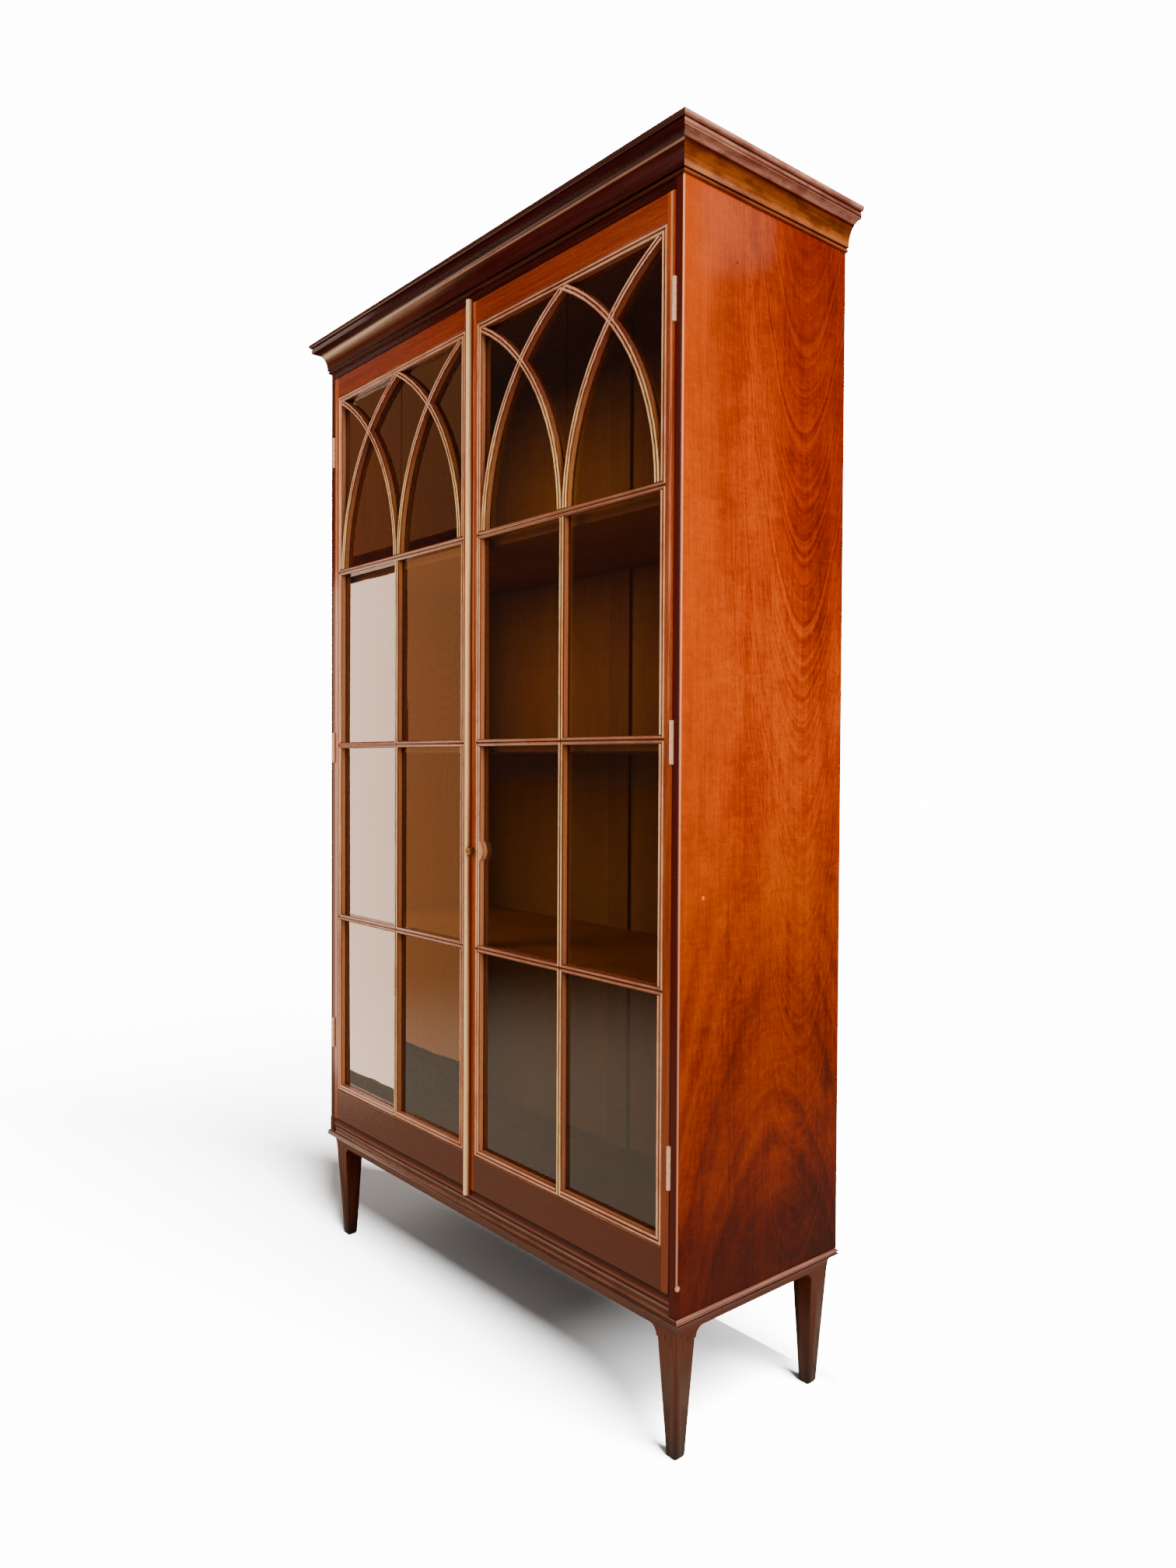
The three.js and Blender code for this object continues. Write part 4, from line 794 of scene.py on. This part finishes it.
def reeded_section(tree, width, depth, sag):
    """A closed outline as wide as the bar, its front side shaped into two round reeds."""
    box = value_of(tree, "GeometryNodeCurvePrimitiveQuadrilateral", {0: width, 1: depth})
    fine = value_of(tree, "GeometryNodeResampleCurve", {0: box, 2: SECTION_POINTS})
    across, through, up = axes(tree, value_of(tree, "GeometryNodeInputPosition"))
    share = calc(tree, "DIVIDE", product(tree, across, 2.0), width)
    crown = calc(tree, "ABSOLUTE", calc(tree, "SINE", product(tree, share, math.pi)))
    hollow = product(tree, calc(tree, "SUBTRACT", 1.0, crown), sag)
    front = calc(tree, "LESS_THAN", through, product(tree, depth, FRONT_SHARE))
    push = value_of(tree, "ShaderNodeCombineXYZ", {1: hollow})
    return value_of(tree, "GeometryNodeSetPosition", {0: fine, 1: front, 3: push})


def bent_bar(tree, section, radius, sweep, turn):
    """A bar that rises from the origin and bends to the right (turn 1) or to the left (turn -1)."""
    start = math.pi if turn > 0 else 0.0
    arc = value_of(tree, "GeometryNodeCurveArc", {0: ARC_STEPS, 4: radius, 5: start,
                                                  6: product(tree, sweep, -turn)})
    upright = value_of(tree, "GeometryNodeSetCurveNormal", {0: arc}, mode="Z_UP")
    bar = value_of(tree, "GeometryNodeCurveToMesh", {0: upright, 1: section, 3: True})
    shift = value_of(tree, "ShaderNodeCombineXYZ", {0: product(tree, radius, turn)})
    raised = value_of(tree, "GeometryNodeTransform", {0: bar, 1: shift})
    return value_of(tree, "GeometryNodeTransform", {0: raised, 2: (math.pi / 2, 0, 0)})


def trimmed_to(tree, bars, size, middle):
    """What lies of some bars inside a box."""
    opening = value_of(tree, "GeometryNodeMeshCube", {0: size})
    opening = value_of(tree, "GeometryNodeTransform", {0: opening, 1: middle})
    trim = node(tree, "GeometryNodeMeshBoolean", operation="INTERSECT", solver="EXACT")
    trim.inputs["Self Intersection"].default_value = True
    for shape in (bars, opening):
        tree.links.new(shape, trim.inputs["Mesh 2"])
    return trim.outputs[0]


def creased(tree, shape):
    """Smooth faces, with a crease wherever two of them meet at more than a soft angle."""
    angle = value_of(tree, "GeometryNodeInputMeshEdgeAngle")
    sharp = calc(tree, "SUBTRACT", 1.0, calc(tree, "LESS_THAN", angle, SOFT_ANGLE))
    smooth = value_of(tree, "GeometryNodeSetShadeSmooth", {0: shape, 1: True, 2: True})
    return value_of(tree, "GeometryNodeSetShadeSmooth", {0: smooth, 1: sharp, 2: False}, domain="EDGE")


def arch_tree():
    group, given, keys = new_tree("interlaced_arches", {
        "Springing points": "Geometry", "Radius": "Float", "Sweep": "Float", "Width": "Float",
        "Depth": "Float", "Sag": "Float", "Opening middle": "Vector", "Opening size": "Vector",
        "Finish": "Material"})
    ask = given.outputs
    section = reeded_section(group, ask["Width"], ask["Depth"], ask["Sag"])
    bars = node(group, "GeometryNodeGeometryToInstance")
    for turn in (1, -1):
        group.links.new(bent_bar(group, section, ask["Radius"], ask["Sweep"], turn), bars.inputs[0])
    lean = value_of(group, "GeometryNodeInputNamedAttribute", {"Name": "lean"}, data_type="INT")
    chosen = {0: ask[0], 2: bars.outputs[0], 3: True, 4: lean}
    placed = value_of(group, "GeometryNodeInstanceOnPoints", chosen)
    real = value_of(group, "GeometryNodeRealizeInstances", {0: placed})
    trimmed = trimmed_to(group, real, ask["Opening size"], ask["Opening middle"])
    close_tree(group, creased(group, trimmed), ask["Finish"])
    return group, keys


arches, arch_keys = arch_tree()
print("tree", arches.name, "with inputs", list(arch_keys))

# %% [markdown]
# ## Setting the arches
# A pointed arch is drawn from its springing line: the bar starts upright, so the middle of its circle lies
# level with the springing. Its radius follows from how far it runs and how far it rises, radius = (run^2 +
# rise^2) / (2 run). Both come from the opening of the door, so the arches would still meet if the door were
# wider.

# %% Arches of both doors
def place_mesh(name, points, lean):
    mesh = bpy.data.meshes.new(name)
    mesh.from_pydata(points, [], [])
    mesh.attributes.new("lean", "INT", "POINT").data.foreach_set("value", lean)
    return linked_object(name, mesh)


def grown(start, group, keys, values, name):
    """The plain mesh that a tree grows from a start object, as an object of its own."""
    grower = start.modifiers.new(group.name, "NODES")
    grower.node_group = group
    for title, value in values.items():
        grower[keys[title]] = value
    bpy.context.view_layer.update()
    depsgraph = bpy.context.evaluated_depsgraph_get()
    mesh = bpy.data.meshes.new_from_object(start.evaluated_get(depsgraph), depsgraph=depsgraph)
    start.modifiers.remove(grower)
    bpy.data.objects.remove(start)
    mesh.name = name
    return linked_object(name, mesh)


def arc_of(run, rise):
    """Radius and angle of an arc that starts upright and reaches so far across and so far up."""
    radius = (run ** 2 + rise ** 2) / (2 * run)
    return radius, math.atan2(rise, radius - run)


def make_arches(side):
    low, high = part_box("tracery_" + side)
    bar_low, bar_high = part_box("centre_bar_" + side)
    rail_low, rail_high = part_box("cross_bar_3_" + side)
    width = bar_high[0] - bar_low[0]
    middle = (bar_low[0] + bar_high[0]) / 2
    spring = (rail_low[2] + rail_high[2]) / 2
    radius, angle = arc_of(middle - low[0] - width / 2, high[2] - spring)
    depth = high[1] - DOOR_FRONT
    mid_depth = DOOR_FRONT + depth / 2
    springs = [low[0] + width / 2, middle - width / 2, middle + width / 2, high[0] - width / 2]
    start = place_mesh("arch_starts_" + side, [(x, mid_depth, spring) for x in springs], [1, 0, 1, 0])
    piece = grown(start, arches, arch_keys, {
        "Radius": radius, "Sweep": angle + EXTRA_SWEEP, "Width": width, "Depth": depth, "Sag": REED_DEPTH,
        "Finish": arch_wood, "Opening middle": ((low[0] + high[0]) / 2, mid_depth, (low[2] + high[2]) / 2),
        "Opening size": (high[0] - low[0], 3 * depth, high[2] - low[2])}, "arches_" + side)
    finish_piece(piece, side + "_door", ["tracery_" + side])
    return piece


for side in ("right", "left"):
    arch = make_arches(side)

# %% [markdown]
# ## Ribs and putty behind the glass
# Behind every bar a thin rib passes between the panes, and a bevel of putty leans against it from both
# sides. In this model the rib and its putty are one strip, wide at the glass and narrow at the back. A tree
# sweeps one section along any set of lines. Here it is given the middle lines of the straight bars and of
# the arches.

# %% A node tree that sweeps a section along lines
UPRIGHT = (math.pi / 2, 0, 0)


def sweep_tree():
    group, given, keys = new_tree("swept_lines", {
        "Lines": "Geometry", "Front width": "Float", "Back width": "Float", "Height": "Float",
        "Turn": "Vector", "Shift": "Vector", "Finish": "Material"})
    ask = given.outputs
    section = value_of(group, "GeometryNodeCurvePrimitiveQuadrilateral", {
        1: ask["Height"], 2: ask["Front width"], 3: ask["Back width"], 4: 0.0}, mode="TRAPEZOID")
    lines = value_of(group, "GeometryNodeMeshToCurve", {0: ask[0]})
    level = value_of(group, "GeometryNodeSetCurveNormal", {0: lines}, mode="Z_UP")
    strip = value_of(group, "GeometryNodeCurveToMesh", {0: level, 1: section, 3: True})
    turned = value_of(group, "GeometryNodeTransform", {0: strip, 2: ask["Turn"]})
    placed = value_of(group, "GeometryNodeTransform", {0: turned, 1: ask["Shift"]})
    flat = value_of(group, "GeometryNodeSetShadeSmooth", {0: placed, 1: True, 2: False})
    close_tree(group, flat, ask["Finish"])
    return group, keys


sweep, sweep_keys = sweep_tree()
print("tree", sweep.name, "with inputs", list(sweep_keys))

# %% [markdown]
# ## Setting the ribs
# The ribs follow the bars, so their middle lines come from the same measures as the arches. The lines are
# drawn flat, across and then up. The tree sweeps them, stands them upright and moves them behind the glass,
# where each door carries its own.

# %% Ribs of both doors
RIB_FRONT_WIDTH, RIB_BACK_WIDTH, RIB_DEPTH = 0.009, 0.0032, 0.0062
RIB_START = -0.1573
RIB_STEPS = 18


def line_object(name, chains):
    """A start object with one chain of edges for each list of points."""
    points, edges = [], []
    for chain in chains:
        first = len(points)
        points += [tuple(p) for p in chain]
        edges += [(i, i + 1) for i in range(first, first + len(chain) - 1)]
    mesh = bpy.data.meshes.new(name)
    mesh.from_pydata(points, edges, [])
    return linked_object(name, mesh)


def bar_rows(side):
    """The heights of the middles of a door's cross bars."""
    return [sum(corner[2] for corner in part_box(f"cross_bar_{row}_{side}")) / 2 for row in (1, 2, 3)]


def rib_chains(side):
    """Middle lines of the straight bars and of the arches of a door, drawn flat: across, then up."""
    middle = LIGHT_MIDDLE[0] if side == "right" else -LIGHT_MIDDLE[0]
    x0, x1 = middle - LIGHT_HALF[0], middle + LIGHT_HALF[0]
    foot, head = LIGHT_MIDDLE[1] - LIGHT_HALF[1], LIGHT_MIDDLE[1] + LIGHT_HALF[1]
    half = MOULD_WIDTH / 2
    rows = bar_rows(side)
    spring = rows[-1]
    chains = [[(x0, z, 0), (x1, z, 0)] for z in rows]
    chains.append([(middle, foot, 0), (middle, spring, 0)])
    radius, angle = arc_of(LIGHT_HALF[0] - half, head - spring)
    steps = [angle * i / RIB_STEPS for i in range(RIB_STEPS + 1)]
    for start, way in ((x0 + half, 1), (middle - half, -1), (middle + half, 1), (x1 - half, -1)):
        chains.append([(start + way * radius * (1 - math.cos(a)), spring + radius * math.sin(a), 0)
                       for a in steps])
    return chains


for side in ("right", "left"):
    ribs = grown(line_object("rib_lines_" + side, rib_chains(side)), sweep, sweep_keys, {
        "Front width": RIB_FRONT_WIDTH, "Back width": RIB_BACK_WIDTH, "Height": RIB_DEPTH, "Turn": UPRIGHT,
        "Shift": (0, RIB_START + RIB_DEPTH / 2, 0), "Finish": putty_wood}, "ribs_" + side)
    finish_piece(ribs, side + "_door")
    print(ribs.name, len(ribs.data.polygons), "faces")

# %% [markdown]
# ## Straps of the inside bolts
# The two bolts of the left door slide in bent brass straps. A strap is a flat strip that follows a stepped
# line: a foot on the wood, up, over the bolt, down, and another foot. The tree that made the ribs makes it
# as well.

# %% Straps
STRAP_LEVELS = (0.285, 0.345, 1.783, 1.843)
STRAP_THICKNESS, STRAP_WIDTH, STRAP_FOOT, STRAP_PLAY = 0.0008, 0.007, 0.0062, 0.0003
DOOR_BACK = -0.149


def strap_chain(level):
    low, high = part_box("top_bolt")
    reach = STRAP_PLAY + STRAP_THICKNESS / 2
    x0, x1, over = low[0] - reach, high[0] + reach, high[1] + reach
    foot = DOOR_BACK + STRAP_THICKNESS / 2
    line = [(x0 - STRAP_FOOT, foot), (x0, foot), (x0, over), (x1, over), (x1, foot), (x1 + STRAP_FOOT, foot)]
    return [(x, y, level) for x, y in line]


straps = grown(line_object("strap_lines", [strap_chain(z) for z in STRAP_LEVELS]), sweep, sweep_keys, {
    "Front width": STRAP_THICKNESS, "Back width": STRAP_THICKNESS, "Height": STRAP_WIDTH,
    "Finish": old_brass}, "bolt_straps")
finish_piece(straps, "left_door")
print(straps.name, len(straps.data.polygons), "faces")

# %% [markdown]
# ## Round-headed screws
# Four small screws hold the latch, and two hold each strap. One head is shaped once, a flattened ball with
# a slot cut across it, and set on every hole. Nobody lines up the slots by hand, so each is turned at
# random.

# %% Screws
HEAD_SEGMENTS, HEAD_RINGS = 14, 8
RISE_SHARE, SLOT_SHARE, SLOT_LENGTH_SHARE = 0.45, 0.28, 3.0
LATCH_SCREW, STRAP_SCREW, LATCH_INSET = 0.0017, 0.0014, 0.005
LATCH_SEED, STRAP_SEED = 3, 7


def slotted_head(tree, radius, rise, slot):
    """A flattened ball with a slot across it."""
    ball = value_of(tree, "GeometryNodeMeshUVSphere", {0: HEAD_SEGMENTS, 1: HEAD_RINGS, 2: radius})
    scale = value_of(tree, "ShaderNodeCombineXYZ", {0: 1.0, 1: calc(tree, "DIVIDE", rise, radius), 2: 1.0})
    head = value_of(tree, "GeometryNodeTransform", {0: ball, 3: scale})
    long_side = product(tree, radius, SLOT_LENGTH_SHARE)
    size = value_of(tree, "ShaderNodeCombineXYZ", {0: long_side, 1: rise, 2: slot})
    lift = value_of(tree, "ShaderNodeCombineXYZ", {1: rise})
    groove = value_of(tree, "GeometryNodeMeshCube", {0: size})
    groove = value_of(tree, "GeometryNodeTransform", {0: groove, 1: lift})
    return value_of(tree, "GeometryNodeMeshBoolean", {"Mesh 1": head, "Mesh 2": groove},
                    operation="DIFFERENCE", solver="EXACT")


def screw_tree():
    group, given, keys = new_tree("round_head_screws", {
        "Holes": "Geometry", "Radius": "Float", "Rise": "Float", "Slot": "Float", "Seed": "Int",
        "Finish": "Material"})
    ask = given.outputs
    head = slotted_head(group, ask["Radius"], ask["Rise"], ask["Slot"])
    span = {2: 0.0, 3: math.pi, "Seed": ask["Seed"]}
    turn = node(group, "FunctionNodeRandomValue", span, data_type="FLOAT")
    angle = value_of(group, "ShaderNodeCombineXYZ", {1: turn.outputs[1]})
    placed = value_of(group, "GeometryNodeInstanceOnPoints", {0: ask[0], 2: head, 5: angle})
    close_tree(group, placed, ask["Finish"])
    return group, keys


def set_screws(name, holes, body, radius, seed):
    made = grown(line_object(name + "_holes", [[hole] for hole in holes]), screws, screw_keys, {
        "Radius": radius, "Rise": radius * RISE_SHARE, "Slot": radius * SLOT_SHARE, "Seed": seed,
        "Finish": old_brass}, name)
    finish_piece(made, body)
    print(name, len(made.data.polygons), "faces")


def strap_holes(level):
    """The middle of each foot of a strap."""
    chain = strap_chain(level)
    feet = ((chain[0], chain[1]), (chain[-1], chain[-2]))
    return [((end[0] + bend[0]) / 2, DOOR_BACK + STRAP_THICKNESS, level) for end, bend in feet]


screws, screw_keys = screw_tree()
case_low, case_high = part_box("latch_case")
latch_holes = [(x, DOOR_BACK, z) for x in (case_low[0] + LATCH_INSET, case_high[0] - LATCH_INSET)
               for z in (case_low[2] + LATCH_INSET, case_high[2] - LATCH_INSET)]
set_screws("latch_screws", latch_holes, "right_door", LATCH_SCREW, LATCH_SEED)
set_screws("strap_screws", [hole for level in STRAP_LEVELS for hole in strap_holes(level)], "left_door",
           STRAP_SCREW, STRAP_SEED)

# %% [markdown]
# ## Boards that stay as they are
# The shelves, the back and the boards of the carcase have the right shape already, and mostly lie in shadow
# behind the glass. They only need a finish.

# %% Finishes on kept solids
KEPT = [
    (["top_board", "shelf_1", "shelf_2", "shelf_3"], inner_level),
    (["back_panel_right", "back_panel_left"], inner_upright),
    (["back_muntin"], back_muntin_wood),
    (["frieze_rail"], shadowed_red),
    (["bottom_board"], sill_front),
    (["base_rail_back"], stand_level),
    (["latch_case", "latch_bolt", "top_bolt", "bottom_bolt"], old_brass)]
for names, material in KEPT:
    for name in names:
        skin = frame["nodes"][name].data.materials
        skin.clear()
        skin.append(material)
print(sum(len(names) for names, material in KEPT), "kept solids have their finishes")

# %% [markdown]
# ## Panes
# Each opening between the bars is glazed with its own pane, pressed into putty by hand. No two panes lie
# quite in one plane, so that a reflection jumps from pane to pane. Thin slabs are turned by a fraction of a
# degree round their own middles. Their edges stay hidden behind the bars.

# %% Panes
PANE_GAP = 0.002
PANE_TURN = math.radians(0.22)
PANE_SEEDS = {"right": 5, "left": 8}


def door_lights(side):
    """The openings between the bars of a door, from its bars' own places: (x0, x1, z0, z1) of each."""
    glass_low, glass_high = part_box(f"glass_{side}")
    bar_low, bar_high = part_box(f"centre_bar_{side}")
    levels = [glass_low[2], *bar_rows(side), glass_high[2]]
    columns = [glass_low[0], (bar_low[0] + bar_high[0]) / 2, glass_high[0]]
    return [(x0, x1, z0, z1) for x0, x1 in zip(columns, columns[1:]) for z0, z1 in zip(levels, levels[1:])]


def add_pane(bm, x0, x1, z0, z1, random):
    middle = Vector(((x0 + x1) / 2, (GLASS_FRONT + GLASS_BACK) / 2, (z0 + z1) / 2))
    size = Vector((x1 - x0 - PANE_GAP, GLASS_BACK - GLASS_FRONT, z1 - z0 - PANE_GAP))
    turn = Matrix.Rotation(random.uniform(-PANE_TURN, PANE_TURN), 4, "Z")
    tip = Matrix.Rotation(random.uniform(-PANE_TURN, PANE_TURN), 4, "X")
    bmesh.ops.create_cube(bm, matrix=Matrix.Translation(middle) @ turn @ tip @ Matrix.Diagonal((*size, 1)))


def make_panes(side):
    random = Random(PANE_SEEDS[side])
    bm = bmesh.new()
    for light in door_lights(side):
        add_pane(bm, *light, random)
    mesh = bpy.data.meshes.new("panes_" + side)
    bm.to_mesh(mesh)
    bm.free()
    mesh.materials.append(clear_glass)
    piece = linked_object("panes_" + side, mesh)
    finish_piece(piece, side + "_door", ["glass_" + side])
    print(piece.name, len(mesh.polygons), "faces")


for side in PANE_SEEDS:
    make_panes(side)

# %% [markdown]
# ## Floor
# The bookcase stands on a plain pale floor. Polished wood and glass would mirror so bright a floor, so
# mirrors see a dark one in its place. Two upright pieces of gauze, which no eye and no mirror sees, stand
# at the back and at the right of the stand, to dim the light that would otherwise pass under the case.

# %% Floor and gauze
FLOOR_REACH = 80.0
MIRRORED_NEAR, MIRRORED_FAR = 1.6, 3.6
BACK_LINE, BACK_HEIGHTS, BACK_THROUGH = ((-0.56, 0.2085), (0.56, 0.2085)), (0.004, 0.24), 0.12
SIDE_LINE, SIDE_HEIGHTS, SIDE_THROUGH = ((0.5, -0.13), (0.5, 0.2085)), (0.07, 0.2), 0.2


def seen_directly(tree):
    return node(tree, "ShaderNodeLightPath").outputs["Is Camera Ray"]


def make_floor():
    bpy.ops.mesh.primitive_plane_add(size=FLOOR_REACH)
    floor = bpy.context.object
    floor.name = "floor"
    material, tree, shader, place = new_finish("pale_floor")
    away = node(tree, "ShaderNodeVectorMath", {0: place}, operation="LENGTH").outputs["Value"]
    mirrored = blend(tree, remap(tree, away, MIRRORED_NEAR, MIRRORED_FAR), "3a332b", "0c0603")
    colour = blend(tree, seen_directly(tree), mirrored, "f6f6f6")
    tree.links.new(colour, shader.inputs["Base Color"])
    shader.inputs["Roughness"].default_value = 1.0
    shader.inputs["Specular IOR Level"].default_value = 0.0
    floor.data.materials.append(material)
    return floor


def make_flag(name, line, heights, through):
    """An upright piece of gauze that lets a share of the light through."""
    (x0, y0), (x1, y1) = line
    low, high = heights
    mesh = bpy.data.meshes.new(name)
    mesh.from_pydata([(x0, y0, low), (x1, y1, low), (x1, y1, high), (x0, y0, high)], [], [(0, 1, 2, 3)])
    flag = linked_object(name, mesh)
    material, tree, shader, place = new_finish(name + "_gauze")
    gauze = value_of(tree, "ShaderNodeBsdfTransparent", {"Color": (through, through, through, 1)})
    tree.links.new(gauze, tree.nodes["Material Output"].inputs["Surface"])
    tree.nodes.remove(shader)
    mesh.materials.append(material)
    flag.visible_camera = flag.visible_glossy = False


floor = make_floor()
make_flag("back_flag", BACK_LINE, BACK_HEIGHTS, BACK_THROUGH)
make_flag("side_flag", SIDE_LINE, SIDE_HEIGHTS, SIDE_THROUGH)
print("floor", FLOOR_REACH, "m wide, and two pieces of gauze")

# %% [markdown]
# ## Light
# The studio is bright and even. A wide, soft sun shines on the floor alone, from the right, and casts the
# long pale shadow to the left. Three broad lamps light the wood, from the right, from the front and from
# behind. All of them are kept out of the reflections.

# %% Sky and lamps
SKY_SEEN, SKY_SOFT, SKY_MIRRORED = 14.0, 0.46, 0.04
SUN_PLACE, SUN_SOFTNESS, SUN_POWER = (4.0, -0.1, 3.6), 40, 74
LAMPS = [
    ("side_lamp", (2.5, -0.5, 2.0), (0.5, 0.0, 1.2), (1.2, 1.2), 15, "ffecd4"),
    ("front_lamp", (-1.6, -3.6, 2.4), (0, 0, 1.1), (2.2, 2.2), 8, "ffe8cc"),
    ("back_lamp", (-2.6, 3.0, 2.3), (-0.2, 0.1, 1.0), (2.0, 2.0), 5.5, "ffecd4")]


def make_sky():
    """A pale surround: white where it is seen, softer where it lights, dim where it is mirrored."""
    world = bpy.data.worlds.new("studio")
    bpy.context.scene.world = world
    world.use_nodes = True
    tree = world.node_tree
    sky = tree.nodes["Background"]
    paths = node(tree, "ShaderNodeLightPath")
    seen, mirrored = paths.outputs["Is Camera Ray"], paths.outputs["Is Glossy Ray"]
    unseen = value_of(tree, "ShaderNodeMapRange", {0: mirrored, 3: SKY_SOFT, 4: SKY_MIRRORED})
    strength = value_of(tree, "ShaderNodeMapRange", {0: seen, 3: unseen, 4: SKY_SEEN})
    tree.links.new(strength, sky.inputs["Strength"])
    tree.links.new(blend(tree, seen, "fff6ee", "ffffff"), sky.inputs["Color"])


def place_lamp(name, data, place, target):
    lamp = linked_object(name, data)
    lamp.location = place
    lamp.rotation_euler = (Vector(target) - Vector(place)).to_track_quat("-Z", "Y").to_euler()
    lamp.visible_camera = False
    return lamp


def link_light(lamp, only=None, never=None):
    """Lets a lamp shine on one object only, or on all but one."""
    group = bpy.data.collections.new(lamp.name + "_receivers")
    group.objects.link(only or never)
    lamp.light_linking.receiver_collection = group
    if never:
        group.collection_objects[0].light_linking.link_state = "EXCLUDE"


def make_sun(name, place, softness, power):
    data = bpy.data.lights.new(name, "SUN")
    data.energy, data.angle = power, math.radians(softness)
    return place_lamp(name, data, place, (0, 0, 0))


def make_lamp(name, place, target, size, glow, colour, mirrored=False):
    """An oblong lamp with a given glow; either only lights things or is only seen in them."""
    data = bpy.data.lights.new(name, "AREA")
    data.shape, data.size, data.size_y = "RECTANGLE", *size
    data.energy = glow * math.pi * size[0] * size[1]
    data.color = tone(colour)[:3]
    lamp = place_lamp(name, data, place, target)
    lamp.visible_diffuse = not mirrored
    lamp.visible_glossy = mirrored
    lamp.visible_transmission = False
    return lamp


make_sky()
link_light(make_sun("floor_sun", SUN_PLACE, SUN_SOFTNESS, SUN_POWER), only=floor)
for lamp in LAMPS:
    link_light(make_lamp(*lamp), never=floor)
print("sun on the floor, and", len(LAMPS), "lamps on the wood")

# %% [markdown]
# ## Cards that only mirrors show
# Polished wood and glass are drawn by what they mirror. A photographer therefore stands pale cards beside
# the piece, each where one kind of edge, or one row of panes, can see it. Four stand square in front of the
# left door. Two more are turned towards the crowns of the bars and towards the top of the right side.

# %% Cards
CARD_DEPTH = -0.73
DOOR_CARDS = [
    ("pale_card", -1.75, -1.212, 0.03, 1.62, 7, "ffd6ba"),
    ("warm_card", -1.2, -0.87, 0.2, 1.66, 1.3, "ffa460"),
    ("dim_card", -1.75, -0.87, 1.7, 2.25, 0.45, "ff9a50"),
    ("cornice_card", -2.4, -1.3, 2.37, 2.42, 5, "ffe8dc")]
TURNED_CARDS = [
    ("crest_card", (-1.0, -4.2, 1.6), (0, -0.17, 1.1), (0.7, 3.4), 14, "fff0e0"),
    ("sheen_card", (1.653, 0.88, 2.75), (0.5, -0.1, 1.85), (0.35, 0.6), 6, "ffb890")]


def make_card(name, x0, x1, z0, z1, glow, colour):
    """A card close in front of the left door, square to it, which only mirrors show."""
    place = ((x0 + x1) / 2, CARD_DEPTH, (z0 + z1) / 2)
    make_lamp(name, place, (place[0], 0, place[2]), (x1 - x0, z1 - z0), glow, colour, mirrored=True)


for card in DOOR_CARDS:
    make_card(*card)
for card in TURNED_CARDS:
    make_lamp(*card, mirrored=True)
